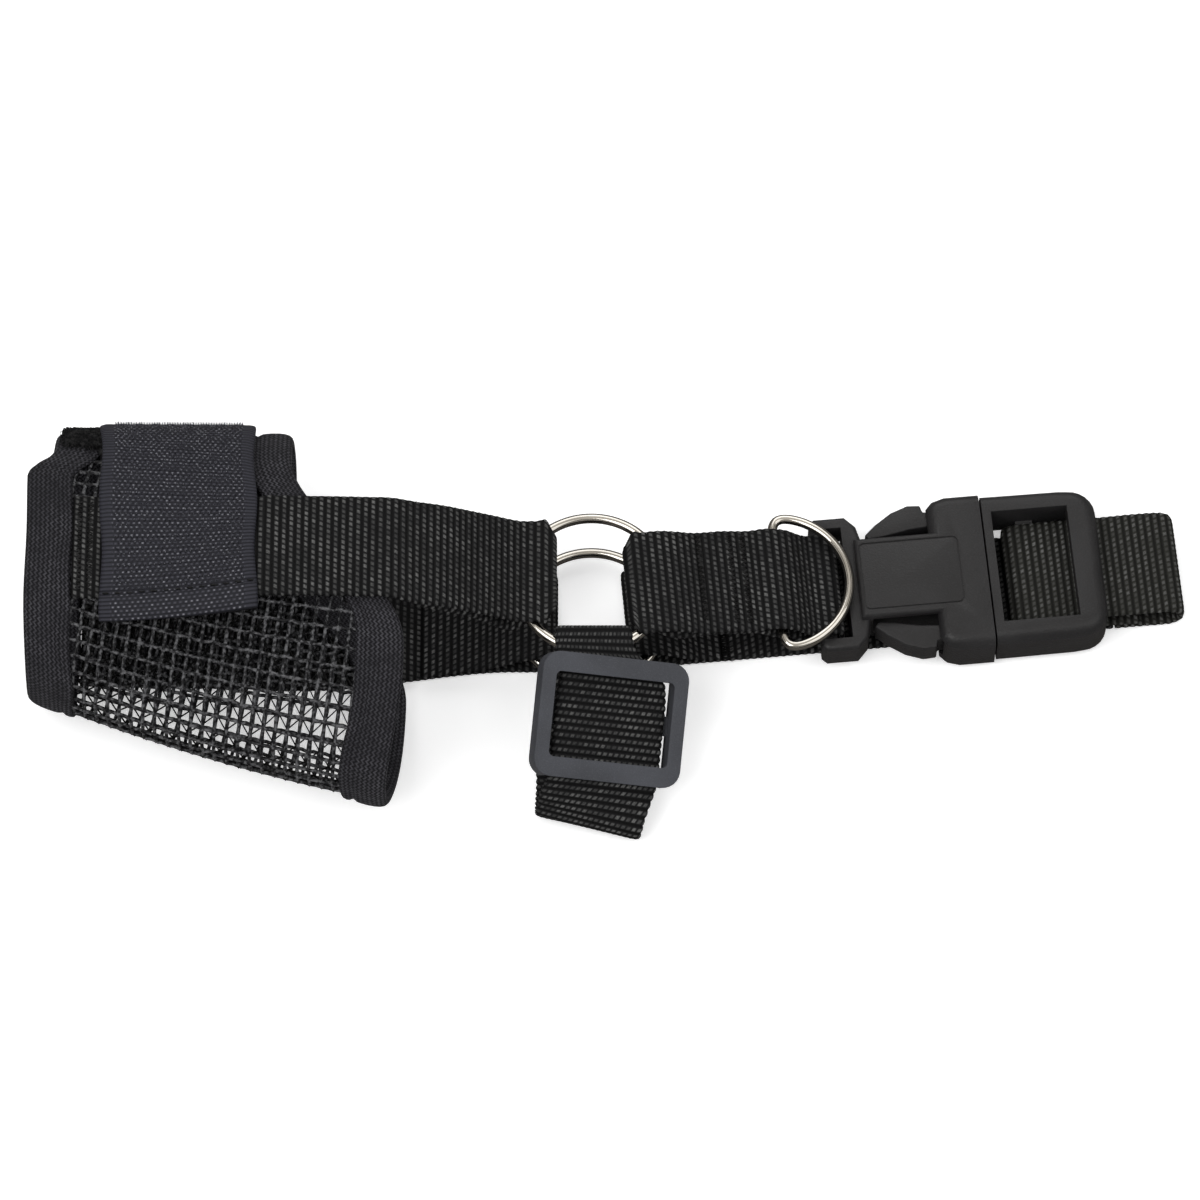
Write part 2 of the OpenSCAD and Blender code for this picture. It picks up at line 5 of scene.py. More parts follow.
import bmesh
import bpy
import numpy as np
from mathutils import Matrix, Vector


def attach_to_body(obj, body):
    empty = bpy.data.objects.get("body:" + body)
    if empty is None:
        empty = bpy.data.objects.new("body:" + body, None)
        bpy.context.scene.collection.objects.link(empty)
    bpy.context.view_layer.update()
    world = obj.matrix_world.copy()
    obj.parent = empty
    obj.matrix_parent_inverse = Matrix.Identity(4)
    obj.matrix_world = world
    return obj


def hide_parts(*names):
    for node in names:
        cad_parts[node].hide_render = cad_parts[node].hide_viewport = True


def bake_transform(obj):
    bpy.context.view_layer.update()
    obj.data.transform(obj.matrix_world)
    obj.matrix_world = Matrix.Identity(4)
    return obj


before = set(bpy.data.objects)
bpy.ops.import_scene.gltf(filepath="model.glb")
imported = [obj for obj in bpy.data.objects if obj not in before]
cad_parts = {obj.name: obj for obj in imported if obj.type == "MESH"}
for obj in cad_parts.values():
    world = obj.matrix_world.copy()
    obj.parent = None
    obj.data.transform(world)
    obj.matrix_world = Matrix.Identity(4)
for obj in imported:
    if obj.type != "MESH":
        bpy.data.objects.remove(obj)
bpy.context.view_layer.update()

bl_info = {
    "name": "Head halter",
    "version": (1, 0, 0),
    "blender": (4, 5, 0),
    "location": "View3D > Sidebar > Halter",
    "description": "Makes the webbing, net, tapes, rings and buckle of a head halter",
    "category": "Object",
}

MM = 0.001

# Shared places, in millimetres in the row frame.
AXIS = (-3.0, 7.5)             # upright axis through both O-rings
LEFT_RING_Z = 21.5
RIGHT_RING_Z = 2.95
COLLAR_TURN = math.radians(5.3)
FRONT_X, REAR_X, REAR_SLANT = -130.5, -46.5, 26.0
MUZZLE_TOP, FRONT_HALF, REAR_HALF = 42.8, 30.9, 44.3
TUBE_HALF_Z = 18.0
MID_Z = 2.85 + TUBE_HALF_Z
OVAL = 0.8                     # exponent of the tube's oval section
NET_MARGIN = 1.5               # how far the strands stop short of the net's edges
HOOK_X0, HOOK_W, HOOK_SKEW = -116.0, 35.0, 0.021
HOOK_OFF, HOOK_T = 2.0, 1.6
HOOK_FACE = HOOK_T * 0.82      # thickness of the hook tape without its hem
HOOK_FROM, HOOK_TO = -57.0, 107.0    # angles of its ends round the tube
HEM_LEAN = 10.4                # how much longer the free end is at one side
HEM_AT = 0.925                 # share of the hook tape's length where its hem begins
LOOP_T = 1.2
CHEEK_LEFT = -120.7
CHEEK_REST = {1: 8.4, -1: 2.5}
CHEEK_RISE, NECK_DROP = 2.2, 1.8     # how far the straps sit off the middle of their rings
RING_R, RING_WIRE = 16.65, 1.15
DEE = (43.0, 13.4)             # the D-ring's bar: distance from the rings' axis, and height
DEE_R, DEE_WIRE = 16.7, 1.1
SLIDER_AT = np.array([1.0, -24.8, 17.6])
WEB_T = 1.5                    # thickness of the webbing
FLAT_Z, LAID_Z = 0.78, 2.4     # heights of the first and second layers of webbing on the floor


# ---- general shapes ----

def lerp(a, b, s):
    return a + (b - a) * s


def ease(s):
    c = np.clip(s, 0, 1)
    return c * c * (3 - 2 * c)


def unit(v):
    v = np.asarray(v, float)
    return v / np.maximum(np.linalg.norm(v, axis=-1, keepdims=True), 1e-12)


def hermite(knots, values, at):
    """Smooth curve through values at knots, read at other places."""
    slope = np.gradient(values, knots, axis=0)
    i = np.clip(np.searchsorted(knots, at, side="right") - 1, 0, len(knots) - 2)
    h = (knots[i + 1] - knots[i])
    u = (at - knots[i]) / h
    shape = (-1,) + (1,) * (values.ndim - 1)
    u, h = u.reshape(shape), h.reshape(shape)
    return ((2 * u**3 - 3 * u**2 + 1) * values[i] + (u**3 - 2 * u**2 + u) * h * slope[i]
            + (3 * u**2 - 2 * u**3) * values[i + 1] + (u**3 - u**2) * h * slope[i + 1])


def lengths_along(points):
    steps = np.linalg.norm(np.diff(points, axis=0), axis=1)
    return np.concatenate([[0], np.cumsum(steps)])


def new_piece(name, verts, faces, material, corner_uv=None, edges=(), smooth=True):
    """A mesh object from points in millimetres. corner_uv follows the corners of faces in order."""
    verts = np.asarray(verts, float)
    mesh = bpy.data.meshes.new(name)
    mesh.from_pydata((verts * MM).tolist(), [tuple(e) for e in edges], [tuple(f) for f in faces])
    if corner_uv is not None:
        layer = mesh.uv_layers.new(name="cloth")
        layer.uv.foreach_set("vector", np.asarray(corner_uv, np.float32).ravel())
    mesh.update()
    if smooth and len(mesh.polygons):
        mesh.polygons.foreach_set("use_smooth", [True] * len(mesh.polygons))
    if material:
        mesh.materials.append(material)
    obj = bpy.data.objects.new(name, mesh)
    bpy.context.scene.collection.objects.link(obj)
    return obj


def grid_piece(name, points, u, v, material, closed=False):
    """A skin from a grid of points (rows, columns, 3) whose columns run round it.

    The rows' ends are joined where closed, and get caps where not. u and v are the places on the
    cloth of the rows and the columns, with one more where the grid meets itself.
    """
    rows, cols = points.shape[:2]
    verts = points.reshape(-1, 3)
    row_steps = rows if closed else rows - 1
    i, j = np.meshgrid(np.arange(row_steps), np.arange(cols), indexing="ij")
    i, j = i.ravel(), j.ravel()
    i2, j2 = (i + 1) % rows, (j + 1) % cols
    quads = np.stack([i * cols + j, i2 * cols + j, i2 * cols + j2, i * cols + j2], 1)
    uu = np.stack([u[i], u[i + 1], u[i + 1], u[i]], 1)
    vv = np.stack([v[j], v[j], v[j + 1], v[j + 1]], 1)
    first, second, third, fourth = (verts[quads[:, k]] for k in range(4))
    volume = np.sum(first * np.cross(second, third)) + np.sum(first * np.cross(third, fourth))
    faces = quads.tolist()
    uv = np.stack([uu, vv], 2)
    if not closed:
        for row, turn in ((0, 1), (rows - 1, -1)):
            for a in range(cols // 2 - 1 + cols % 2):
                b = cols - 1 - a
                corners = (a, a + 1, b - 1, b)[::turn]
                if len(set(corners)) == 4:
                    faces.append([row * cols + k for k in corners])
                    uv = np.concatenate([uv, [[(u[row], v[k]) for k in corners]]])
    if volume < 0:
        faces = [f[::-1] for f in faces]
        uv = uv[:, ::-1]
    return new_piece(name, verts, faces, material, uv.reshape(-1, 2))


def settle(obj):
    """Turns what an object's modifiers make into its plain mesh."""
    graph = bpy.context.evaluated_depsgraph_get()
    mesh = bpy.data.meshes.new_from_object(obj.evaluated_get(graph))
    obj.modifiers.clear()
    obj.data = mesh
    for extra in ("stand", "along"):
        if extra in mesh.attributes:
            mesh.attributes.remove(mesh.attributes[extra])
    return obj


# ---- node helpers ----

def wire(tree, kind, values=None, **settings):
    """Adds a node, sets its settings, and joins or sets its inputs."""
    node = tree.nodes.new(kind)
    for key, value in settings.items():
        setattr(node, key, value)
    for key, value in (values or {}).items():
        socket = node.inputs[key]
        if isinstance(value, bpy.types.NodeSocket):
            tree.links.new(value, socket)
        else:
            socket.default_value = value
    return node


def calc(tree, operation, a, b=0.0, c=0.0):
    return wire(tree, "ShaderNodeMath", {0: a, 1: b, 2: c}, operation=operation).outputs[0]


def times(tree, *factors):
    """Product of sockets and numbers."""
    product = factors[0]
    for factor in factors[1:]:
        product = calc(tree, "MULTIPLY", product, factor)
    return product


def hump(tree, place):
    """Rises from 0 to 1 and falls back once in each whole step of place."""
    return calc(tree, "SINE", times(tree, calc(tree, "FRACT", place), math.pi))


def fade(tree, value, low, high, to_low=0.0, to_high=1.0):
    """Smooth step of value from low to high."""
    ends = {"From Min": low, "From Max": high, "To Min": to_low, "To Max": to_high}
    node = wire(tree, "ShaderNodeMapRange", {"Value": value, **ends}, interpolation_type="SMOOTHSTEP")
    return node.outputs["Result"]


def blend_colour(tree, share, low, high):
    node = wire(tree, "ShaderNodeMix", {"Factor": share}, data_type="RGBA")
    for socket, value in ((node.inputs[6], low), (node.inputs[7], high)):
        if isinstance(value, bpy.types.NodeSocket):
            tree.links.new(value, socket)
        else:
            socket.default_value = (*value[:3], 1.0)
    return node.outputs[2]


def start_finish(name, roughness, **constants):
    """A material with its shader, ready for a colour, roughness and bump."""
    material = bpy.data.materials.new(name)
    material.use_nodes = True
    tree = material.node_tree
    tree.nodes.clear()
    shader = wire(tree, "ShaderNodeBsdfPrincipled", {"Roughness": roughness, **constants})
    output = wire(tree, "ShaderNodeOutputMaterial", {})
    tree.links.new(shader.outputs[0], output.inputs["Surface"])
    return material, tree, shader


def relief(tree, shader, height, distance, strength=1.0):
    node = wire(tree, "ShaderNodeBump", {"Height": height, "Distance": distance, "Strength": strength})
    tree.links.new(node.outputs[0], shader.inputs["Normal"])


def cloth_places(tree):
    """Millimetres along and across the cloth, from its own UV map."""
    uv = wire(tree, "ShaderNodeUVMap", {}, uv_map="cloth")
    apart = wire(tree, "ShaderNodeSeparateXYZ", {"Vector": uv.outputs[0]})
    return apart.outputs[0], apart.outputs[1]


def place_noise(tree, scale, detail=3.0, stretch=(1, 1, 1)):
    """Soft noise fixed to the object's own places."""
    place = wire(tree, "ShaderNodeTexCoord").outputs["Object"]
    mapped = wire(tree, "ShaderNodeMapping", {"Vector": place, "Scale": stretch}).outputs[0]
    noise = wire(tree, "ShaderNodeTexNoise", {"Vector": mapped, "Scale": scale, "Detail": detail})
    return noise.outputs["Fac"]


def cell_noise(tree, a, b):
    """A random value for each pair of whole numbers a and b."""
    both = wire(tree, "ShaderNodeCombineXYZ", {0: a, 1: b}).outputs[0]
    node = wire(tree, "ShaderNodeTexWhiteNoise", {"Vector": both}, noise_dimensions="2D")
    return node.outputs["Value"]


def finish(name):
    return bpy.data.materials[name]


# ---- finishes ----

def staggered_rows(tree, s, v, pitch, spacing, slant=0.0):
    """Rows along s and columns along v, where every other row is half a column further on.

    Returns the row, its whole number, and the column.
    """
    row = calc(tree, "DIVIDE", s, pitch)
    row_no = calc(tree, "FLOOR", row)
    stagger = times(tree, calc(tree, "MODULO", row_no, 2.0), 0.5)
    column = calc(tree, "ADD", calc(tree, "DIVIDE", v, spacing), stagger)
    if slant:
        column = calc(tree, "ADD", column, times(tree, calc(tree, "FRACT", row), slant))
    return row, row_no, column


def webbing_finish(name, dark, light, rib, knuckle):
    """Black webbing: ribs across it, with painted shade in the grooves between the ribs and painted
    highlights as staggered slanted specks on the tops of its yarn.
    """
    material, tree, shader = start_finish(name, 0.75, **{"Specular IOR Level": 0.12})
    s, v = cloth_places(tree)
    row, row_no, column = staggered_rows(tree, s, v, rib, knuckle, 0.45)
    ridge, bead = hump(tree, row), hump(tree, column)
    chance = cell_noise(tree, row_no, calc(tree, "FLOOR", column))
    patch = fade(tree, place_noise(tree, 60.0, 2.0), 0.35, 0.65, 0.55, 1.0)
    fibre = place_noise(tree, 4000.0, 2.0)
    # Painted highlight: paler specks on the tops of the ribs' knuckles, where light would catch the yarn.
    painted_highlight = times(tree, fade(tree, ridge, 0.6, 0.98), fade(tree, bead, 0.3, 0.85),
                  fade(tree, chance, 0.1, 1.0, 0.35, 1.0), patch, fade(tree, fibre, 0.3, 0.6, 0.45, 1.1))
    # Painted shade: the dark yarn falls to a third of its colour in the grooves between the ribs.
    base = blend_colour(tree, fade(tree, ridge, 0.2, 0.9), [c * 0.35 for c in dark], dark)
    tree.links.new(blend_colour(tree, painted_highlight, base, light), shader.inputs["Base Color"])
    beaded = times(tree, ridge, calc(tree, "ADD", times(tree, bead, 0.5), 0.5))
    relief(tree, shader, calc(tree, "ADD", beaded, times(tree, fibre, 0.35)), 0.0003, 0.8)
    return material


def binding_finish(name, dark, light):
    """Knitted binding: narrow columns of zigzag yarn along the tape."""
    material, tree, shader = start_finish(name, 0.8, **{"Specular IOR Level": 0.1})
    s, v = cloth_places(tree)
    stitch_row = calc(tree, "DIVIDE", s, 0.55)
    zigzag = times(tree, calc(tree, "PINGPONG", stitch_row, 1.0), 0.55)
    column = calc(tree, "ADD", calc(tree, "DIVIDE", v, 1.05), zigzag)
    yarn = hump(tree, column)
    chance = cell_noise(tree, calc(tree, "FLOOR", stitch_row), calc(tree, "FLOOR", column))
    line = times(tree, fade(tree, yarn, 0.5, 1.0), fade(tree, chance, 0.0, 1.0, 0.45, 1.0),
                 fade(tree, place_noise(tree, 90.0), 0.3, 0.7, 0.5, 1.0))
    tree.links.new(blend_colour(tree, line, dark, light), shader.inputs["Base Color"])
    relief(tree, shader, yarn, 0.00025, 0.8)
    return material


def hook_finish(name, dark, light):
    """Woven hook tape: fine cross ribs and ribbed selvedges, with painted shade in the weave's hollows and
    painted glints at staggered points.
    """
    material, tree, shader = start_finish(name, 0.6, **{"Specular IOR Level": 0.15})
    s, v = cloth_places(tree)
    row, row_no, column = staggered_rows(tree, s, v, 0.95, 1.25)
    selvedge = fade(tree, calc(tree, "ABSOLUTE", v), 14.6, 15.2)
    ridge = hump(tree, row)
    bead = calc(tree, "MAXIMUM", hump(tree, column), selvedge)
    chance = cell_noise(tree, row_no, calc(tree, "FLOOR", column))
    weave = times(tree, fade(tree, ridge, 0.25, 0.95), fade(tree, bead, 0.15, 0.9))
    # Painted shade: the tape darkens to under half its colour in the weave's hollows between ribs and beads.
    base = blend_colour(tree, weave, [c * 0.45 for c in dark], dark)
    # Painted glints: bright points on the tops of the beads and ribs, away from the selvedges.
    painted_glint = times(tree, fade(tree, chance, 0.2, 1.0, 0.15, 1.0), fade(tree, bead, 0.75, 1.0),
                  fade(tree, ridge, 0.7, 1.0), calc(tree, "SUBTRACT", 1.0, selvedge))
    tree.links.new(blend_colour(tree, painted_glint, base, light), shader.inputs["Base Color"])
    relief(tree, shader, times(tree, ridge, calc(tree, "ADD", times(tree, bead, 0.6), 0.4)), 0.00022, 0.9)
    return material


def yarn_finish(name, dark, light, roughness=0.6, scale=900.0):
    """Plain yarn, thread or filament with fine uneven colour."""
    material, tree, shader = start_finish(name, roughness, **{"Specular IOR Level": 0.15})
    noise = place_noise(tree, scale)
    colour_here = blend_colour(tree, fade(tree, noise, 0.42, 0.68), dark, light)
    tree.links.new(colour_here, shader.inputs["Base Color"])
    relief(tree, shader, noise, 0.0001, 0.6)
    return material


def metal_finish(name, colour):
    """Bright plated wire with faint rubbed marks."""
    material, tree, shader = start_finish(name, 0.16, Metallic=1.0)
    rub = place_noise(tree, 260.0, 4.0, (1, 1, 3))
    tree.links.new(fade(tree, rub, 0.3, 0.75, 0.06, 0.17), shader.inputs["Roughness"])
    cloudy = fade(tree, place_noise(tree, 90.0), 0.35, 0.7)
    plating = blend_colour(tree, cloudy, [c * 0.82 for c in colour], colour)
    tree.links.new(plating, shader.inputs["Base Color"])
    relief(tree, shader, rub, 0.00004, 0.5)
    return material


def moulded_finish(name, dark, light, roughness, grain):
    """Moulded plastic with a fine grain and slightly rubbed patches placed by noise."""
    material, tree, shader = start_finish(name, roughness, **{"Specular IOR Level": 0.25})
    fine = place_noise(tree, grain, 2.0)
    broad = place_noise(tree, 70.0)
    worn = calc(tree, "ADD", fade(tree, broad, 0.35, 0.7, 0.0, 0.5), fade(tree, fine, 0.5, 0.75, 0.0, 0.5))
    tree.links.new(blend_colour(tree, worn, dark, light), shader.inputs["Base Color"])
    rubbed = fade(tree, broad, 0.3, 0.7, roughness - 0.06, roughness + 0.08)
    tree.links.new(rubbed, shader.inputs["Roughness"])
    relief(tree, shader, fine, 0.00013, 0.7)
    return material


# ---- geometry trees ----

def new_tree(name, inputs):
    """An empty geometry tree with a Geometry input and output and the named inputs given."""
    tree = bpy.data.node_groups.new(name, "GeometryNodeTree")
    face = tree.interface
    face.new_socket("Geometry", in_out="INPUT", socket_type="NodeSocketGeometry")
    for label, kind, default in inputs:
        socket = face.new_socket(label, in_out="INPUT", socket_type=kind)
        if default is not None:
            socket.default_value = default
    face.new_socket("Geometry", in_out="OUTPUT", socket_type="NodeSocketGeometry")
    given = tree.nodes.new("NodeGroupInput").outputs
    return tree, given


def end_tree(tree, geometry, material):
    real = wire(tree, "GeometryNodeRealizeInstances", {"Geometry": geometry})
    smooth = wire(tree, "GeometryNodeSetShadeSmooth", {"Geometry": real.outputs[0]})
    painted = wire(tree, "GeometryNodeSetMaterial", {"Geometry": smooth.outputs[0], "Material": material})
    out = tree.nodes.new("NodeGroupOutput")
    tree.links.new(painted.outputs[0], out.inputs[0])
    return tree


def strand_tree():
    """Round strands along every chain of edges, with a knot at each marked point."""
    tree, given = new_tree("Strands", [("Strand radius", "NodeSocketFloat", 0.0003),
                                       ("Knot radius", "NodeSocketFloat", 0.0004),
                                       ("Material", "NodeSocketMaterial", None)])
    lines = wire(tree, "GeometryNodeMeshToCurve", {"Mesh": given["Geometry"]})
    ring = wire(tree, "GeometryNodeCurvePrimitiveCircle", {"Resolution": 5, "Radius": given["Strand radius"]})
    tubes = wire(tree, "GeometryNodeCurveToMesh",
                 {"Curve": lines.outputs[0], "Profile Curve": ring.outputs[0], "Fill Caps": True})
    mark = wire(tree, "GeometryNodeInputNamedAttribute", {"Name": "knot"}, data_type="BOOLEAN")
    bead = wire(tree, "GeometryNodeMeshIcoSphere", {"Radius": given["Knot radius"], "Subdivisions": 1})
    knots = wire(tree, "GeometryNodeInstanceOnPoints",
                 {"Points": given["Geometry"], "Instance": bead.outputs[0], "Selection": mark.outputs[0]})
    both = wire(tree, "GeometryNodeJoinGeometry")
    tree.links.new(tubes.outputs[0], both.inputs[0])
    tree.links.new(knots.outputs[0], both.inputs[0])
    return end_tree(tree, both.outputs[0], given["Material"])


def standing_tree(name, build_shape):
    """A small shape standing on every point, along its stored directions, a little uneven."""
    tree, given = new_tree(name, [("Size", "NodeSocketFloat", 0.001),
                                  ("Thickness", "NodeSocketFloat", 0.0002),
                                  ("Tilt", "NodeSocketFloat", 0.2),
                                  ("Seed", "NodeSocketInt", 7),
                                  ("Material", "NodeSocketMaterial", None)])
    shape = build_shape(tree, given)
    up = wire(tree, "GeometryNodeInputNamedAttribute", {"Name": "stand"}, data_type="FLOAT_VECTOR")
    way = wire(tree, "GeometryNodeInputNamedAttribute", {"Name": "along"}, data_type="FLOAT_VECTOR")
    turn = wire(tree, "FunctionNodeAxesToRotation",
                {"Primary Axis": up.outputs[0], "Secondary Axis": way.outputs[0]},
                primary_axis="Z", secondary_axis="X")
    lean = wire(tree, "FunctionNodeRandomValue", {"Seed": given["Seed"]}, data_type="FLOAT_VECTOR")
    lean.inputs[0].default_value, lean.inputs[1].default_value = (-1, -1, -1), (1, 1, 1)
    scaled = wire(tree, "ShaderNodeVectorMath", {0: lean.outputs[0]}, operation="SCALE")
    tree.links.new(given["Tilt"], scaled.inputs["Scale"])
    leaned = wire(tree, "FunctionNodeEulerToRotation", {0: scaled.outputs[0]})
    both = wire(tree, "FunctionNodeRotateRotation", {0: turn.outputs[0], 1: leaned.outputs[0]},
                rotation_space="LOCAL")
    spread = wire(tree, "FunctionNodeRandomValue", {"Seed": given["Seed"]}, data_type="FLOAT")
    spread.inputs[2].default_value, spread.inputs[3].default_value = 0.85, 1.15
    placed = wire(tree, "GeometryNodeInstanceOnPoints",
                  {"Points": given["Geometry"], "Instance": shape, "Rotation": both.outputs[0],
                   "Scale": spread.outputs[1]})
    return end_tree(tree, placed.outputs[0], given["Material"])


def spike(tree, given):
    """A thin pointed bristle."""
    cone = wire(tree, "GeometryNodeMeshCone", {"Vertices": 5, "Radius Top": 0.00005,
                                               "Radius Bottom": given["Thickness"], "Depth": given["Size"]})
    return cone.outputs["Mesh"]


def stitch(tree, given):
    """One plump stitch lying along its direction."""
    half = calc(tree, "MULTIPLY", given["Size"], 0.5)
    ball = wire(tree, "GeometryNodeMeshUVSphere", {"Segments": 8, "Rings": 5, "Radius": 1.0}).outputs["Mesh"]
    size = wire(tree, "ShaderNodeCombineXYZ", {0: half, 1: given["Thickness"], 2: given["Thickness"]})
    return wire(tree, "GeometryNodeTransform", {"Geometry": ball, "Scale": size.outputs[0]}).outputs[0]


def loop_of_yarn(tree, given):
    """A small arch of yarn."""
    reach, bend, rise = (calc(tree, "MULTIPLY", given["Size"], share) for share in (0.9, 0.4, 2.0))
    foot = wire(tree, "ShaderNodeCombineXYZ", {0: reach}).outputs[0]
    top = wire(tree, "ShaderNodeCombineXYZ", {0: bend, 2: rise}).outputs[0]
    arc = wire(tree, "GeometryNodeCurveQuadraticBezier",
               {"Resolution": 5, "Start": (0, 0, 0), "Middle": top, "End": foot}).outputs[0]
    ring = wire(tree, "GeometryNodeCurvePrimitiveCircle", {"Resolution": 3, "Radius": given["Thickness"]})
    return wire(tree, "GeometryNodeCurveToMesh", {"Curve": arc, "Profile Curve": ring.outputs[0]}).outputs[0]


def run_tree(obj, tree, **values):
    """Puts the tree on obj with its inputs set, and keeps what it makes as a plain mesh."""
    modifier = obj.modifiers.new(tree.name, "NODES")
    modifier.node_group = tree
    for item in tree.interface.items_tree:
        if item.item_type == "SOCKET" and item.in_out == "INPUT" and item.name in values:
            modifier[item.identifier] = values[item.name]
    return settle(obj)


def repeated(name, tree_name, build_shape, points, stand, along, material, size, thick, tilt=0.0, seed=7):
    """A piece made of one small shape at many points. Directions are stored on the points."""
    obj = new_piece(name, points, [], None)
    for label, values in (("stand", stand), ("along", along)):
        attribute = obj.data.attributes.new(label, "FLOAT_VECTOR", "POINT")
        each = np.broadcast_to(values, np.shape(points))
        attribute.data.foreach_set("vector", np.asarray(each, np.float32).ravel())
    tree = bpy.data.node_groups.get(tree_name) or standing_tree(tree_name, build_shape)
    return run_tree(obj, tree, Size=size * MM, Thickness=thick * MM, Tilt=tilt, Seed=seed, Material=material)


# ---- muzzle tube ----

def half_y(x):
    k = (x - FRONT_X) / (REAR_X - FRONT_X)
    return lerp(FRONT_HALF, REAR_HALF, k * (1.38 - 0.38 * k))


def mid_y(x):
    return MUZZLE_TOP - half_y(x)


def oval_c(t):
    c = np.cos(np.radians(t))
    return np.sign(c) * np.abs(c) ** OVAL


def oval_s(t):
    s = np.sin(np.radians(t))
    return np.sign(s) * np.abs(s) ** OVAL


def front_edge(c):
    return FRONT_X + 5.5 * ease((c - 0.5) / 0.25)


def rear_edge(c):
    back = np.where(c > 0.75, 1.0, 1 - (0.75 - c) / 1.05)
    return REAR_X - REAR_SLANT * ease(back) - 4 * (np.maximum(0, -0.3 - c) / 0.7) ** 2


def skin(x, t, off):
    """Points on the tube: x along it, t degrees round it from its top over the left side, off out of it."""
    x, t, off = np.broadcast_arrays(np.asarray(x, float), t, off)
    y = mid_y(x) + (half_y(x) + off) * oval_c(t)
    z = MID_Z + (TUBE_HALF_Z + off) * oval_s(t)
    return np.stack([x, y, z], -1)


def skin_z(x, y, off, side):
    u = np.minimum(1, np.abs(y - mid_y(x)) / (half_y(x) + off))
    return MID_Z + side * (TUBE_HALF_Z + off) * (1 - u ** 2.5) ** 0.4


def even_angles(x, t0, t1, count):
    """Angles from t0 to t1 that are evenly spaced along the oval at x."""
    fine = np.linspace(t0, t1, 2000)
    run = lengths_along(skin(x, fine, 0))
    return np.interp(np.linspace(0, run[-1], count), run, fine), run[-1]


def make_strands(name, chains, tree, strand_radius, knot_radius, material):
    """Strands of yarn along chains of places on the net, and knots.

    A place is its x, its angle, its height off the tube, and whether it has a knot. A chain is broken
    where it leaves the net.
    """
    verts, edges, knots = [], [], []
    for places in chains:
        joined = False
        for x, t, off, knot in places:
            c = oval_c(t)
            on_net = front_edge(c) + NET_MARGIN < x < rear_edge(c) - NET_MARGIN
            if on_net:
                if joined:
                    edges.append((len(verts) - 1, len(verts)))
                verts.append(skin(x, t, off))
                knots.append(knot)
            joined = on_net
    obj = new_piece(name, verts, [], None, edges=edges)
    mark = obj.data.attributes.new("knot", "BOOLEAN", "POINT")
    mark.data.foreach_set("value", knots)
    return run_tree(obj, tree, **{"Strand radius": strand_radius, "Knot radius": knot_radius,
                                  "Material": material})


def make_net(sizes, material, lacing_material):
    """The net: rows along the tube, columns round it, a knot at each crossing, and lacing inside."""
    cell_x, cell_t = sizes.net_cell_along / MM, sizes.net_cell_round / MM
    _, girth = even_angles(-90, 0, 360, 10)
    rows = int(round(girth / cell_t))
    t_rows, _ = even_angles(-90, 0, 360, rows + 1)
    columns = np.arange(FRONT_X - 12, REAR_X + 12, cell_x)
    lean = 0.14 * half_y(-90)

    def column_x(j, t):
        """Where column j crosses angle t; the columns lean with height."""
        return columns[j] + lean * oval_c(t)

    shake = np.random.default_rng(11)
    wobble_t = shake.normal(0, 0.22, (rows, len(columns)))
    wobble_x = shake.normal(0, 0.07, (rows, len(columns)))
    chains = []
    for i in range(rows):
        places = []
        for j in range(len(columns)):
            x, t = column_x(j, t_rows[i]), t_rows[i]
            places.append((x + wobble_x[i, j], t + wobble_t[i, j], -0.28, True))
            places.append((x + cell_x / 2, t + wobble_t[i, j] * 0.3 + 0.15, -0.4, False))
        chains.append(places)
    for j in range(len(columns)):
        places = []
        for i in range(rows + 1):
            k = i % rows
            x, t = column_x(j, t_rows[k]), t_rows[k]
            places.append((x + wobble_x[k, j], t + wobble_t[k, j], -0.3, False))
            if i < rows:
                x_next, t_next = column_x(j, t_rows[i + 1]), t_rows[i + 1]
                places.append(((x + x_next) / 2, (t + t_next) / 2, -0.45, False))
        chains.append(places)
    tree = strand_tree()
    strand = sizes.net_strand
    net = make_strands("muzzle_net", chains, tree, strand / 2, strand * 0.66, material)
    chains = []
    for i in range(rows):
        if oval_s(t_rows[i]) < -0.2:
            ends = [(i + (i + j) % 2) % rows for j in range(len(columns))]
            chains.append([(column_x(j, t_rows[k]), t_rows[k] + wobble_t[k, j], -0.85, False)
                           for j, k in enumerate(ends)])
    lacing = make_strands("net_lacing", chains, tree, strand * 0.3, strand * 0.3, lacing_material)
    return net, lacing


# Section of the folded binding, all round it: inward from the net's edge, and out from the net.
BINDING_SECTION = np.array([
    (9.5, 0.12), (9.6, 0.45), (9.3, 0.8), (8.6, 1.02), (7.9, 1.0), (7.35, 0.72), (7.0, 0.62), (6.6, 0.78),
    (6.0, 1.08), (5.0, 1.22), (3.6, 1.3), (2.0, 1.28), (0.8, 1.15), (-0.2, 0.85), (-0.8, 0.35),
    (-1.05, -0.25), (-1.05, -0.95), (-0.8, -1.6), (-0.2, -2.05), (0.8, -2.3), (2.5, -2.4), (5.0, -2.35),
    (7.0, -2.0), (8.6, -2.2), (9.4, -2.0), (9.5, -1.35), (6.0, -1.3), (0.0, -1.3), (-0.1, -0.6),
    (0.0, 0.02), (6.0, 0.03)])


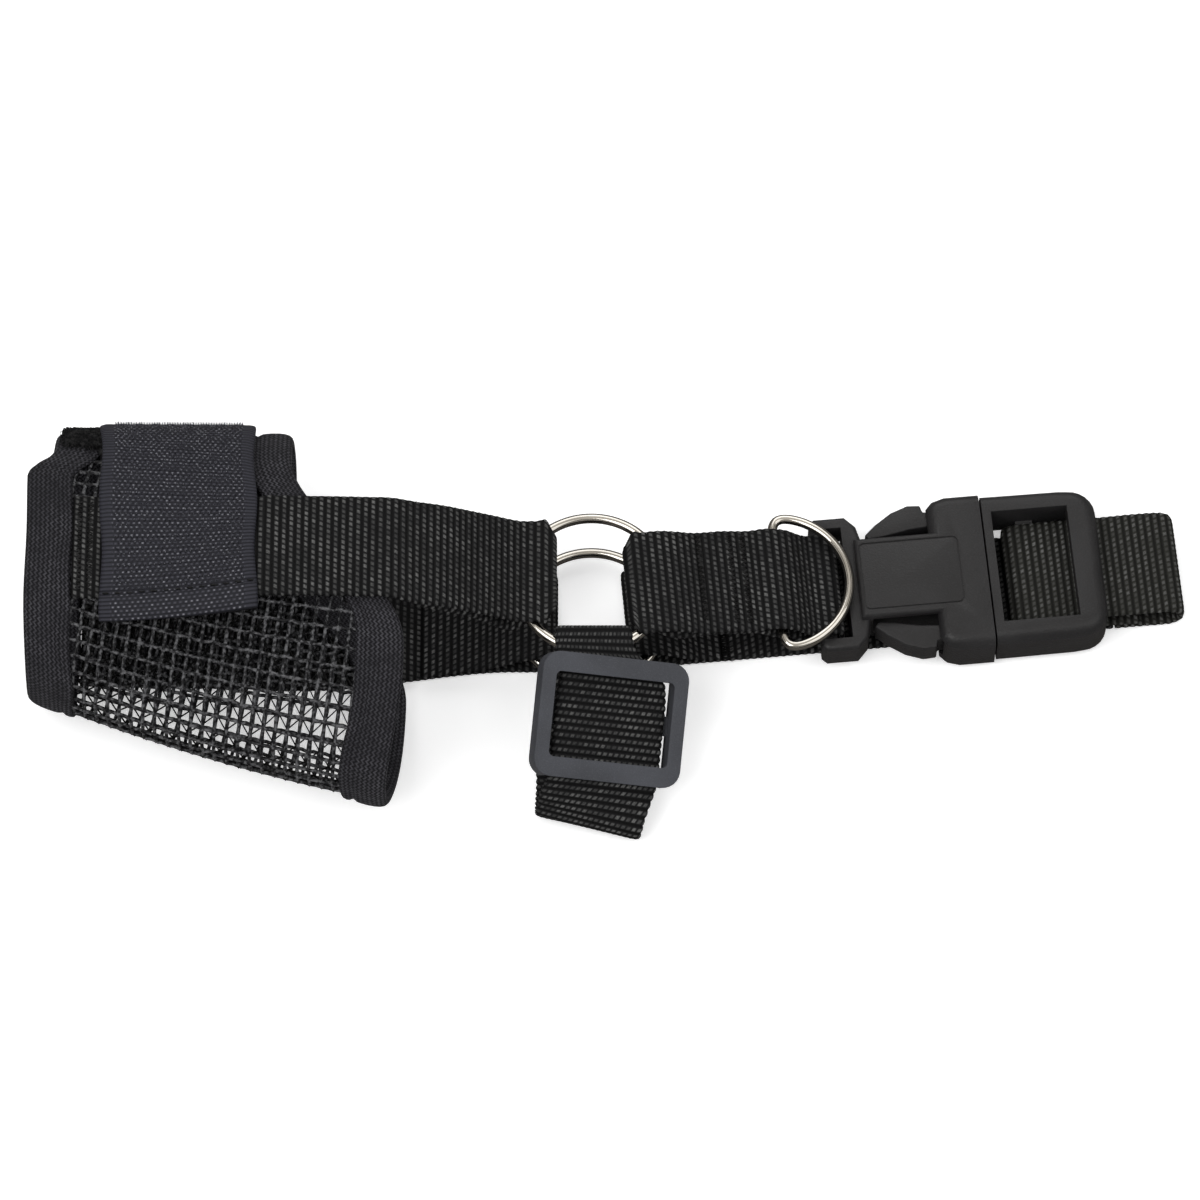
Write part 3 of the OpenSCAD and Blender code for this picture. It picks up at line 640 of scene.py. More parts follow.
def make_binding(name, edge_of, inward, material):
    """A knitted tape folded over an edge of the tube; inward is 1 at the front edge and -1 at the rear."""
    steps = 420
    t, _ = even_angles(-90, 0, 360, steps + 1)
    t = t[:-1]
    edge = edge_of(oval_c(t))
    line = skin(edge, t, 0)
    run = lengths_along(np.concatenate([line, line[:1]]))
    turn = (run / run[-1] * 2 * math.pi)[:-1, None]
    across = lengths_along(np.concatenate([BINDING_SECTION, BINDING_SECTION[:1]]))
    deep, high = BINDING_SECTION[:, 0][None], BINDING_SECTION[:, 1][None]
    wavy = deep + 0.22 * np.sin(turn * 9 + 1) * (deep > 6) + 0.15 * np.sin(turn * 5)
    puff = 1 + 0.1 * np.sin(turn * 14 + 0.4 * inward) + 0.05 * np.sin(turn * 31)
    off = np.where(high > 0.2, high * puff, high)
    points = skin(edge[:, None] + inward * wavy, t[:, None], off)
    return grid_piece(name, points, run, across, material, closed=True)


def hook_angle(a, b):
    """Angle at share a along the hook tape and b across it; the free end is cut a little askew."""
    angles, girth = even_angles(-99, HOOK_FROM, 130, 400)
    run = np.linspace(0, girth, 400)
    whole = np.interp(HOOK_TO, angles, run)
    return np.interp(a * whole + HEM_LEAN * (0.5 - b) * ease((a - 0.5) / 0.5), run, angles)


def hook_x(a, b):
    skew = HOOK_SKEW * hook_angle(a, 0.5 + 0 * b)
    return HOOK_X0 + HOOK_W * b + skew + 0.35 * np.sin(a * 21) * (2 * b - 1)


def hook_lift(a, b):
    """How far the inner face of the hook tape stands out from the net."""
    t = hook_angle(a, b)
    sewn = lerp(HOOK_OFF, 0.15, ease((-t - 4) / 24))
    return sewn + 0.18 * np.sin(a * 17 + b * 3) * ease((t - 20) / 30) * np.abs(2 * b - 1)


def on_hook_face(a, b, proud):
    """Points just proud of the hook tape's outer face, and the directions out of it and along it."""
    t, x = hook_angle(a, b), hook_x(a, b)
    off = hook_lift(a, b) + HOOK_FACE + proud
    at = skin(x, t, off)
    return at, unit(skin(x, t, off + 1) - at), unit(skin(x, t + 1, off) - at)


def make_hook_tape(material, thread, points_material):
    """The wide hook tape with its hooks, its folded hem and the thread that holds the hem."""
    rows, cols = 190, 60
    a = np.linspace(0, 1, rows)[:, None]
    b = np.linspace(0, 1, cols)[None]
    t, x = hook_angle(a, b), hook_x(a, b)
    inner = hook_lift(a, b)
    hem = ease((a - HEM_AT) / 0.012) * (1 - 0.5 * ease((a - 0.985) / 0.015))
    seam = np.exp(-((a - HEM_AT) / 0.008) ** 2)
    rim = 1 - 0.35 * np.abs(2 * b - 1) ** 14
    outer = inner + HOOK_FACE * rim + 1.05 * hem - 0.3 * seam
    outer = outer + 0.06 * np.sin(b * 60 + a * 15)
    mid = skin(x, t, (inner + outer) / 2)
    left = mid[:, :1] + (mid[:, :1] - mid[:, 1:2]) * 0.25
    right = mid[:, -1:] + (mid[:, -1:] - mid[:, -2:-1]) * 0.25
    ring = np.concatenate([skin(x, t, outer), right, skin(x, t, inner)[:, ::-1], left], 1)
    run = lengths_along(mid[:, cols // 2])
    v = np.concatenate([b[0], [1], b[0][::-1], [0], [0]]) * HOOK_W - HOOK_W / 2
    tape = grid_piece("hook_tape", ring, run, v, material)

    hook_rows, hooks_in_row = 62, 25
    every_other = (np.arange(hook_rows) % 2)[:, None]
    hook_a = np.linspace(0.02, 0.915, hook_rows)[:, None] + 0 * np.arange(hooks_in_row)
    hook_b = np.linspace(0.1, 0.9, hooks_in_row) + 0.016 * every_other
    at, stand, along = on_hook_face(hook_a.ravel(), hook_b.ravel(), 0.1)
    hooks = repeated("tape_hooks", "Hooks", spike, at, stand, along, points_material, 0.55, 0.19, 0.35, 5)

    count = 13
    at, stand, _ = on_hook_face(np.full(count, HEM_AT + 0.001), (np.arange(count) + 0.5) / count, 0.12)
    hem_thread = repeated("hem_thread", "Stitches", stitch, at, stand, (1.0, 0, 0), thread,
                          HOOK_W / count * 0.62, 0.22)
    return tape, hooks, hem_thread


def make_loop_tape(material):
    """The fuzzy loop tape under the hook tape, showing in front of it at the top."""
    rows, cols = 60, 50
    a = np.linspace(0, 1, rows)[:, None]
    b = np.linspace(0, 1, cols)[None]
    t = lerp(7.0, 48.0, a) + 0 * b
    x = lerp(np.maximum(-119.5, front_edge(oval_c(t)) + 9.3), -82.0, b)
    inner = 0.15
    shake = np.random.default_rng(3)
    outer = inner + LOOP_T + shake.normal(0, 0.05, x.shape)
    ring = np.concatenate([skin(x, t, outer), skin(x, t, inner)[:, ::-1]], 1)
    run = lengths_along(skin(-100.0, t[:, 0], 0))
    v = np.concatenate([b[0], b[0][::-1], [0]]) * 38
    base = grid_piece("loop_tape_base", ring, run, v, material)

    count = 3600
    share = shake.random((count, 2))
    t = lerp(4.0, 46.0, share[:, 0])
    x = lerp(-125.0, -114.8, share[:, 1] ** 0.9)
    keep = x > front_edge(oval_c(t)) + 1.2
    t, x = t[keep], x[keep]
    off = np.where(x < front_edge(oval_c(t)) + 9.6, 1.2, 1.15)
    at = skin(x, t, off)
    stand = unit(skin(x, t, off + 1) - at)
    spin = (shake.random(len(t)) * 2 * math.pi)[:, None]
    along = np.cos(spin) * np.array([1.0, 0, 0]) + np.sin(spin) * unit(np.cross(stand, [1.0, 0, 0]))
    pile = repeated("loop_pile", "Pile", loop_of_yarn, at, stand, along, material, 1.15, 0.08, 0.6, 9)
    return base, pile


# ---- webbing ----

def webbing_piece(name, stations, sizes, material, closed=False):
    """Woven strap through stations (rows, columns, 3) of its middle surface, ribbed across its width."""
    rib, knuckle = sizes.rib_pitch / MM, sizes.knuckle_pitch / MM
    nominal = sizes.web_width / MM
    stations = np.asarray(stations, float)
    wrapped = np.concatenate([stations[-2:], stations, stations[:3]]) if closed else stations
    d = lengths_along(wrapped[:, wrapped.shape[1] // 2])
    begin, stop = (d[2], d[2 + len(stations)]) if closed else (0.0, d[-1])
    ribs = max(2, int(round((stop - begin) / rib)))
    if closed and ribs % 2:
        ribs += 1
    per_rib = 4
    count = ribs * per_rib
    dense = hermite(d, wrapped, np.linspace(begin, stop, count + 1))
    columns = 2 * int(round(nominal / knuckle))
    across = np.linspace(0, dense.shape[1] - 1, columns + 1)
    low = np.minimum(across.astype(int), dense.shape[1] - 2)
    part = (across - low)[None, :, None]
    sheet = dense[:, low] * (1 - part) + dense[:, low + 1] * part
    if closed:
        ahead = np.concatenate([sheet[1:], sheet[1:2]])
        behind = np.concatenate([sheet[-2:-1], sheet[:-1]])
        run = ahead - behind
    else:
        run = np.gradient(sheet, axis=0)
    side = np.gradient(sheet, axis=1)
    normal = unit(np.cross(run, side))
    v = (np.linspace(0, 1, columns + 1) - 0.5) * nominal
    row = np.arange(count + 1) / per_rib
    ridge = np.abs(np.sin(math.pi * row))[:, None]
    stagger = 0.5 * (np.floor(row + 1e-6) % 2)[:, None]
    bead = np.abs(np.cos(math.pi * (v[None] / knuckle + stagger)))
    edge_drop = 1 - 0.4 * (np.abs(v) / (nominal / 2)) ** 20
    half = (WEB_T / 2 - 0.16 + 0.2 * ridge + 0.07 * ridge * bead) * edge_drop[None]
    lift = normal * half[:, :, None]
    out = unit(side[:, [0, -1]])
    bulge = (0.05 + 0.3 * ridge)[:, :, None]
    first = sheet[:, :1] - out[:, :1] * bulge
    last = sheet[:, -1:] + out[:, 1:] * bulge
    ring = np.concatenate([sheet + lift, last, (sheet - lift)[:, ::-1], first], 1)
    if closed:
        ring = ring[:-1]
    round_v = np.concatenate([v, [v[-1] + 0.2], v[::-1], [v[0] - 0.2], [v[0]]])
    return grid_piece(name, ring, row * rib, round_v, material, closed)


COLUMNS = 13
ACROSS = np.linspace(-1, 1, COLUMNS)


def cheek_mid(x, at):
    return lerp(at, AXIS[1], ease((x + 70) / 50))


def over_edge(x):
    """Height of a cheek strap off the net, which rises where it climbs onto the rear binding."""
    return lerp(0.15, 1.2, ease((x + 79.7) / 2.2))


def draped(x, side, half, bow=0.0):
    """Station of a cheek strap lying on the tube, on its upper (1) or lower (-1) side."""
    y = cheek_mid(x, CHEEK_REST[side]) + ACROSS * half + bow
    off = over_edge(x) + 0.75
    return np.stack([np.full(COLUMNS, x), y, skin_z(x, y, off, side)], 1)


def level(x, y, z, half, sag=0.0):
    """Station that lies across Y at height z, its middle sag lower than its edges."""
    return np.stack([np.full(COLUMNS, x), y + ACROSS * half, z + sag * (ACROSS ** 2 - 1)], 1)


# Fold of a strap round a ring: distance from the ring's axis, height over the ring, half width.
RING_FOLD = [(16.5, 2.25, 12.5), (12.5, 2.25, 12.45), (10.0, 2.2, 12.3), (8.9, 1.9, 11.9), (8.5, 1.0, 11.4),
             (9.0, 0.0, 11.0), (9.7, -1.0, 11.0), (10.8, -2.0, 11.1), (12.5, -2.25, 11.4),
             (17.0, -2.25, 12.0)]


def cheek_fold(z, side, shift):
    """Stations of a cheek strap's fold round the ring at z, from its upper (1) or lower (-1) layer."""
    return [level(AXIS[0] - d, AXIS[1] + shift, z + side * rise, half - shift * (half < 12))
            for d, rise, half in RING_FOLD]


def to_collar(points):
    """Points given in the collar's own frame, moved to the row frame."""
    p = np.asarray(points, float)
    c, s = math.cos(COLLAR_TURN), math.sin(COLLAR_TURN)
    x, y, z = p[..., 0], p[..., 1], p[..., 2]
    return np.stack([AXIS[0] + x * c - y * s, AXIS[1] + x * s + y * c, z], -1)


def collar_station(x, z, half, shift=0.0):
    return to_collar(np.stack([np.full(COLUMNS, x), ACROSS * half + shift, np.full(COLUMNS, z)], 1))


def collar_fold(z, side, shift):
    """Stations of a neck strap's fold round the ring at z, from its upper (1) or lower (-1) layer."""
    return [collar_station(d, z + side * rise, half - abs(shift) * (half < 12), shift)
            for d, rise, half in RING_FOLD]


OVER_REAR = (-79.7, -77.3, -72, -66, -60, -54, -49)    # stations where a cheek strap leaves the tube


def left_cheek():
    z = LEFT_RING_Z

    def mid(x):
        return cheek_mid(x, CHEEK_REST[1]) + CHEEK_RISE * ease((x + 45) / 25)

    tube = [draped(x, 1, 12.5) for x in (CHEEK_LEFT, -117, -113, -108, -102, -96, -90, -84, *OVER_REAR)]
    down = [level(x, mid(x), h, 12.5, sag) for x, h, sag in
            ((-43, 37.6, -0.8), (-37, 35.0, -0.5), (-30, 30.2, -0.2), (-25, 26.8, 0), (-21.5, 24.6, 0))]
    under = [level(x, mid(x), h, half) for x, h, half in
             ((-21.3, z - 2.2, 12.4), (-25, 22.0, 12.5), (-30, 27.4, 12.5), (-37, 33.0, 12.5),
              (-43, 35.6, 12.4))]
    return tube + down + cheek_fold(z, 1, CHEEK_RISE) + under


def right_cheek():
    tube = [draped(x, -1, 12.5) for x in (CHEEK_LEFT, -117, -112, -106, -100, -94, -88, -83, *OVER_REAR)]
    flat = [level(x, cheek_mid(x, CHEEK_REST[-1]), FLAT_Z, 12.5) for x in (-43, -36, -28, -21.5)]
    back = [level(x, cheek_mid(x, CHEEK_REST[-1]), h, 12.5)
            for x, h in ((-22.5, 4.6), (-27, 2.9), (-32, 2.45), (-42, LAID_Z))]
    return tube + flat + cheek_fold(RIGHT_RING_Z, -1, 0.0) + back


def neck_level(x):
    """Middle height of the doubled left neck strap."""
    if x < 18:
        return LEFT_RING_Z
    down = lerp(LEFT_RING_Z, DEE[1], (min(x, 45.0) - 18) / 25)
    return down if x < 45 else lerp(down, 7.5, min(1.0, (x - 45) / 5.8))


def left_neck():
    """The doubled strap, from its fold in the housing's bar back to that fold."""
    upper = [(20.5, 1.7), (24, 0.82), (31, 0.8), (38, 0.9), (41, 2.3), (45, 2.45), (50.8, 3.05), (55.6, 3.05),
             (56.45, 2.65), (56.7, 2.0)]

    def layer(side, half):
        return [collar_station(x, neck_level(x) + side * h, half, -NECK_DROP * ease((38 - x) / 20))
                for x, h in upper]

    over, under = layer(1, 12.5), layer(-1, 12.4)[::-1]
    fold = collar_fold(LEFT_RING_Z, 1, -NECK_DROP)
    return [collar_station(56.75, 7.5, 12.5)] + under + fold[::-1] + over


CUT_X = 29                     # where the right neck strap's end is cut, from the rings' axis


def right_neck():
    floor = [collar_station(x, FLAT_Z, 12.5) for x in (120, 100, 80, 60, 45, 30, 19)]
    back = [collar_station(x, h, 12.5) for x, h in ((19.5, 4.7), (23.5, 2.6), (26, LAID_Z), (CUT_X, LAID_Z))]
    return floor + collar_fold(RIGHT_RING_Z, -1, 0.0) + back


def end_loop():
    turn = [(132.4 + 3.3 * math.cos(math.radians(a)), 4.02 + 3.28 * math.sin(math.radians(a)))
            for a in range(-70, 91, 20)]
    path = [(120.4, 0.75), (127, 0.75), (132, 0.75), *turn, (128, 7.5), (118, 7.4), (110, 7.35),
            (101.9, 7.35), (98.6, 6.9), (96.9, 5), (97.8, 3.1), (100, 2.6), (110, 2.6), (126, 2.55)]
    return [collar_station(x, z, 12.4 + 0.1 * (x > 118)) for x, z in path]


def throat_frame():
    way = unit([-0.1, -0.92, -0.36])
    flat = unit(np.array([1.0, 0, 0]) - way * way[0])
    roll = math.radians(12)
    side = flat * math.cos(roll) - np.cross(way, flat) * math.sin(roll)
    return way, side, np.cross(way, side)


def throat_station(middle, side, half):
    return np.asarray(middle, float)[None] + unit(side)[None] * (ACROSS * half)[:, None]


def throat():
    """The strap from one ring over the slider, down to the floor and back to the other ring."""
    way, side, _ = throat_frame()
    across = np.array([1.0, 0, 0])
    halfway, slope = across + side, np.array([0.957, -0.22, -0.1])
    y0, high, low = AXIS[1], LEFT_RING_Z, RIGHT_RING_Z

    def past_slider(d):
        return SLIDER_AT + way * d

    at_left_ring = [
        ((-2.0, y0 - 24.5, high - 3.2), halfway, 8.0),
        ((-2.5, y0 - 19.5, high - 2.2), across, 8.0),
        ((-3.0, y0 - 14.0, high - 2.2), across, 7.8),
        ((-3.0, y0 - 12.9, high - 1.5), across, 7.8),
        ((-3.0, y0 - 12.3, high), across, 7.8),
        ((-2.8, y0 - 11.8, high + 1.2), across, 8.2),
        ((-2.6, y0 - 12.4, high + 2.2), across, 8.4),
        ((-2.4, y0 - 14.5, high + 2.3), across, 8.6),
        ((-2.0, y0 - 17.3, high + 2.2), 3 * across + side, 8.9)]
    in_slider = [(past_slider(d), side, half)
                 for d, half in ((-9.5, 11.8), (-6, 12.4), (2, 12.5), (8, 12.5), (13.5, 12.4))]
    lower_fold = [
        ((-2.4, -42.0, 10.2), side + slope, 12.3),
        ((-3.3, -44.2, 7.6), slope, 12.0),
        ((-3.8, -45.0, 4.9), slope, 12.0),
        ((-3.8, -44.3, 2.7), slope * (1, 1, 0.4), 12.1),
        ((-3.5, -42.0, 1.35), slope * (1, 0.7, 0), 12.3),
        ((-3.2, -38.5, 0.95), slope * (1, 0.3, 0), 12.4)]
    to_right_ring = [((-3.0, y, z), across, half) for y, z, half in (
        (-34.0, 0.85, 12.4), (y0 - 36, 0.82, 12.4), (y0 - 26, FLAT_Z, 12.2), (y0 - 19, FLAT_Z, 9.0),
        (y0 - 14, 0.8, 7.9), (y0 - 12.9, 1.5, 7.8), (y0 - 12.3, low, 7.8), (y0 - 12.9, low + 1.6, 7.8),
        (y0 - 14.4, low + 2.2, 7.9), (y0 - 19.5, low + 2.0, 8.6), (y0 - 24, 2.6, 11.2), (y0 - 27, 2.45, 12.2),
        (y0 - 31, LAID_Z, 12.4))]
    rows = at_left_ring + in_slider + lower_fold + to_right_ring
    return [throat_station(*row) for row in rows]


def bar_tacks(name, lines, material):
    """Close slanted stitches along each line (its start, its end, and the direction out of the cloth)."""
    pitch, length_of_stitch, slant = 0.55, 1.5, 0.45
    at, up, way = [], [], []
    for start, end, normal in lines:
        start, end, normal = (np.asarray(p, float) for p in (start, end, normal))
        count = int(np.linalg.norm(end - start) / pitch)
        across = unit(end - start)
        for k in range(count):
            at.append(lerp(start, end, (k + 0.5) / count))
            up.append(normal)
            lean = slant if k % 2 else -slant
            way.append(unit(np.cross(across, normal) + lean * across))
    return repeated(name, "Stitches", stitch, np.array(at), np.array(up), np.array(way), material,
                    length_of_stitch, 0.2)


def make_fray(material):
    """Loose yarns at the cut end of the right neck strap."""
    origin = to_collar([0, 0, 0])
    end = collar_station(CUT_X + 0.2, LAID_Z, 12.2)
    strays = ((0, -0.4), (0.5, 0.2), (-0.6, 0.6), (0.9, -0.1), (-1.0, 0.1))
    at = np.concatenate([end + to_collar([0, dy, 0]) - origin + [0, 0, dz] for dy, dz in strays])
    outward = to_collar([1, 0, 0.1]) - origin
    return repeated("frayed_end", "Hooks", spike, at, outward, (0, 1.0, 0), material, 2.4, 0.17, 0.5, 21)


# ---- rings and mouldings ----

def wire_loop(name, path, radius, material, weld_at):
    """Round wire along a closed flat path, with a weld bead at a share of its length."""
    sides = 20
    path = np.asarray(path, float)
    rows = len(path)
    way = unit(np.roll(path, -1, 0) - np.roll(path, 1, 0))
    up = np.tile([0.0, 0, 1], (rows, 1))
    out = unit(np.cross(way, up))
    run = lengths_along(np.concatenate([path, path[:1]]))
    gap = np.abs((run[:-1] - weld_at * run[-1] + run[-1] / 2) % run[-1] - run[-1] / 2)
    fat = 1 + 0.16 * np.exp(-(gap / 0.8) ** 2) + 0.03 * np.exp(-(gap / 2.5) ** 2)
    a = np.linspace(0, 2 * math.pi, sides, endpoint=False)
    r = (radius * fat)[:, None, None]
    a = a[None, :, None]
    ring = path[:, None] + r * (np.cos(a) * out[:, None] + np.sin(a) * up[:, None])
    return grid_piece(name, ring, run, np.linspace(0, 2 * math.pi * radius, sides + 1), material, closed=True)


def rounded_copy(name, node, width, segments, material):
    """A CAD node's shape with its edges rounded as moulded plastic has them."""
    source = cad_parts[node].data
    mesh = bpy.data.meshes.new(name)
    shape = bmesh.new()
    shape.from_mesh(source)
    bmesh.ops.remove_doubles(shape, verts=shape.verts, dist=1e-6)
    bmesh.ops.dissolve_limit(shape, angle_limit=math.radians(1), verts=shape.verts, edges=shape.edges)
    shape.to_mesh(mesh)
    shape.free()
    mesh.materials.clear()
    mesh.materials.append(material)
    obj = bpy.data.objects.new(name, mesh)
    bpy.context.scene.collection.objects.link(obj)
    bevel = obj.modifiers.new("Edges", "BEVEL")
    bevel.width = width * MM
    bevel.segments = segments
    bevel.limit_method = "ANGLE"
    bevel.angle_limit = math.radians(28)
    bevel.use_clamp_overlap = True
    settle(obj)
    obj.data.polygons.foreach_set("use_smooth", [True] * len(obj.data.polygons))
    obj.data.set_sharp_from_angle(angle=math.radians(35))
    return obj


def attach(obj, body, slot, *nodes):
    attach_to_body(obj, body)
    if nodes:
        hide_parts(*nodes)
    return obj


def bend_between(obj, a, b, start, end, slot, *nodes):
    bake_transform(obj)
    if nodes:
        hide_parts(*nodes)
    return obj


# ---- stage ----

def make_floor(pale):
    """A wide pale floor that glows a little, but is dark and unlit where the metal mirrors it."""
    material, tree, shader = start_finish("floor", 0.9)
    shade = fade(tree, place_noise(tree, 3.0, 1.0), 0.2, 0.8)
    painted = blend_colour(tree, shade, [k * 0.985 for k in pale], pale)
    mirrored = wire(tree, "ShaderNodeLightPath").outputs["Is Glossy Ray"]
    seen = blend_colour(tree, mirrored, painted, (0.12, 0.11, 0.1))
    tree.links.new(seen, shader.inputs["Base Color"])
    shader.inputs["Emission Color"].default_value = (1, 1, 1, 1)
    tree.links.new(fade(tree, mirrored, 0, 1, 0.4, 0.0), shader.inputs["Emission Strength"])
    reach, z = 2500.0, -0.2
    corners = [(-reach, -reach, z), (reach, -reach, z), (reach, reach, z), (-reach, reach, z)]
    return new_piece("floor", corners, [(0, 1, 2, 3)], material, smooth=False)


# The studio that reflections see, from below to above: place and brightness of each band.
STUDIO_BANDS = ((0.0, 0.2), (0.12, 0.25), (0.2, 0.03), (0.42, 0.04), (0.5, 0.9), (0.6, 0.95), (0.66, 0.08),
                (0.76, 0.1), (0.84, 0.85), (1.0, 1.0))


def light_world(scene):
    """Even white light, and for reflections a studio with dark bands, which give metal its contrast."""
    world = bpy.data.worlds.new("Studio")
    scene.world = world
    world.use_nodes = True
    tree = world.node_tree
    even = tree.nodes["Background"]
    even.inputs["Color"].default_value = (1, 1, 1, 1)
    even.inputs["Strength"].default_value = 0.5
    place = wire(tree, "ShaderNodeTexCoord").outputs["Generated"]
    height = wire(tree, "ShaderNodeSeparateXYZ", {0: place}).outputs[2]
    ramp = wire(tree, "ShaderNodeValToRGB", {0: height})
    stops = ramp.color_ramp.elements
    for k, (at, grey) in enumerate(STUDIO_BANDS):
        stop = stops[k] if k < 2 else stops.new(at)
        stop.position, stop.color = at, (grey, grey * 0.96, grey * 0.9, 1)
    studio = wire(tree, "ShaderNodeBackground", {"Color": ramp.outputs[0], "Strength": 0.8})
    mirrored = wire(tree, "ShaderNodeLightPath").outputs["Is Glossy Ray"]
    mixed = wire(tree, "ShaderNodeMixShader", {0: mirrored, 1: even.outputs[0], 2: studio.outputs[0]})
    tree.links.new(mixed.outputs[0], tree.nodes["World Output"].inputs["Surface"])


# ---- settings ----

def length(label, about, default):
    return bpy.props.FloatProperty(name=label, description=about, default=default, unit="LENGTH",
                                   subtype="DISTANCE", precision=5)


def colour(label, about, default):
    return bpy.props.FloatVectorProperty(name=label, description=about, default=default, size=3, min=0,
                                         max=1, subtype="COLOR")


class HalterSizes(bpy.types.PropertyGroup):
    """Sizes of the soft goods."""

    web_width: length("Webbing width", "Width of every strap", 0.025)
    rib_pitch: length("Rib pitch", "Distance from one rib of the webbing to the next", 0.00168)
    knuckle_pitch: length("Knuckle pitch", "Distance between the yarns along a rib", 0.00132)
    net_cell_along: length("Net cell along", "Length of a net cell along the muzzle", 0.0027)
    net_cell_round: length("Net cell round", "Length of a net cell round the muzzle", 0.0041)
    net_strand: length("Net strand", "Thickness of a strand of the net", 0.0009)


class HalterColours(bpy.types.PropertyGroup):
    """Colours of the finishes."""

    webbing: colour("Webbing", "Dark yarn of the webbing", (0.0095, 0.0095, 0.01))
    # The paler yarn of this colour is painted highlight on the tops of the webbing's knuckles, in both
    # webbing finishes.
    webbing_highlight: colour("Webbing specks", "Paler yarn of the webbing", (0.12, 0.12, 0.117))
    end_webbing: colour("Strap end", "Dark yarn of the strap end", (0.021, 0.021, 0.018))
    binding: colour("Binding", "Dark yarn of the binding", (0.011, 0.0107, 0.0125))
    binding_line: colour("Binding zigzag", "Paler yarn of the binding", (0.058, 0.057, 0.064))
    hook: colour("Hook tape", "Colour of the hook tape", (0.03, 0.03, 0.039))
    # The shining hook tips of this colour are painted glints, on the hook tape and in patches on the hooks.
    hook_glint: colour("Hook tips", "Colour of the shining hook tips", (0.17, 0.17, 0.19))
    net: colour("Net", "Colour of the net's yarn", (0.005, 0.005, 0.006))
    # The paler filaments of this colour are painted highlights on the net's dark strands.
    net_highlight: colour("Net highlights", "Paler filaments of the net", (0.11, 0.11, 0.115))
    nickel: colour("Nickel", "Plating of the rings", (0.55, 0.525, 0.48))
    acetal: colour("Buckle", "Colour of the buckle", (0.0165, 0.016, 0.0165))
    slider: colour("Slider", "Colour of the slider", (0.044, 0.046, 0.053))
    floor: colour("Floor", "Colour of the floor", (0.93, 0.93, 0.93))


# ---- operators ----

class HALTER_OT_finishes(bpy.types.Operator):
    """Mixes the finishes that the pieces use"""

    bl_idname = "halter.finishes"
    bl_label = "Mix finishes"

    def execute(self, context):
        sizes, c = context.scene.halter_sizes, context.scene.halter_colours
        rib, knuckle = sizes.rib_pitch / MM, sizes.knuckle_pitch / MM
        webbing_finish("black_webbing", c.webbing, c.webbing_highlight, rib, knuckle)
        webbing_finish("strap_end", c.end_webbing, c.webbing_highlight, rib, knuckle)
        binding_finish("knit_binding", c.binding, c.binding_line)
        hook_finish("woven_hook_tape", c.hook, c.hook_glint)
        # The hooks' paler noise patches are painted glints.
        yarn_finish("hook_tips", c.hook, c.hook_glint, 0.35, 1500.0)
        # The net's paler noise patches are painted highlights on its dark yarn.
        yarn_finish("net_yarn", c.net, c.net_highlight, 0.45, 1100.0)
        yarn_finish("lacing_yarn", (0.004, 0.004, 0.004), (0.012, 0.012, 0.012))
        yarn_finish("pile", (0.006, 0.006, 0.0065), (0.03, 0.03, 0.03), 0.8)
        yarn_finish("sewing_thread", (0.003, 0.003, 0.003), (0.02, 0.02, 0.02), 0.5)
        metal_finish("bright_nickel", c.nickel)
        moulded_finish("buckle_plastic", c.acetal, [k * 1.5 for k in c.acetal], 0.4, 2500.0)
        moulded_finish("grained_plastic", c.slider, [k * 1.7 for k in c.slider], 0.62, 3800.0)
        return {"FINISHED"}


class HALTER_OT_net(bpy.types.Operator):
    """Knots the net of the muzzle band"""

    bl_idname = "halter.net"
    bl_label = "Net"

    def execute(self, context):
        net, lacing = make_net(context.scene.halter_sizes, finish("net_yarn"), finish("lacing_yarn"))
        attach(net, "muzzle", "mesh", "muzzle_mesh")
        attach(lacing, "muzzle", "mesh")
        return {"FINISHED"}


class HALTER_OT_bindings(bpy.types.Operator):
    """Folds the knitted bindings over both edges of the net"""

    bl_idname = "halter.bindings"
    bl_label = "Bindings"

    def execute(self, context):
        front = make_binding("front_binding_tape", front_edge, 1, finish("knit_binding"))
        attach(front, "muzzle", "binding", "front_binding")
        rear = make_binding("rear_binding_tape", rear_edge, -1, finish("knit_binding"))
        attach(rear, "muzzle", "binding", "rear_binding")
        return {"FINISHED"}


class HALTER_OT_closure(bpy.types.Operator):
    """Makes the hook tape, its hem and the loop tape"""

    bl_idname = "halter.closure"
    bl_label = "Hook and loop tapes"

    def execute(self, context):
        thread = finish("sewing_thread")
        tape, hooks, hem = make_hook_tape(finish("woven_hook_tape"), thread, finish("hook_tips"))
        start, end = (0, 0, MID_Z - 2.5), (0, 0, MID_Z + 2.5)
        bend_between(tape, "muzzle", "flap", start, end, "hook_tape", "hook_tape_base", "hook_flap")
        bend_between(hooks, "muzzle", "flap", start, end, "hook_tape")
        attach(hem, "flap", "thread", "hem_stitches")
        base, pile = make_loop_tape(finish("pile"))
        attach(base, "muzzle", "loop_pile", "loop_tape")
        attach(pile, "muzzle", "loop_pile")
        return {"FINISHED"}


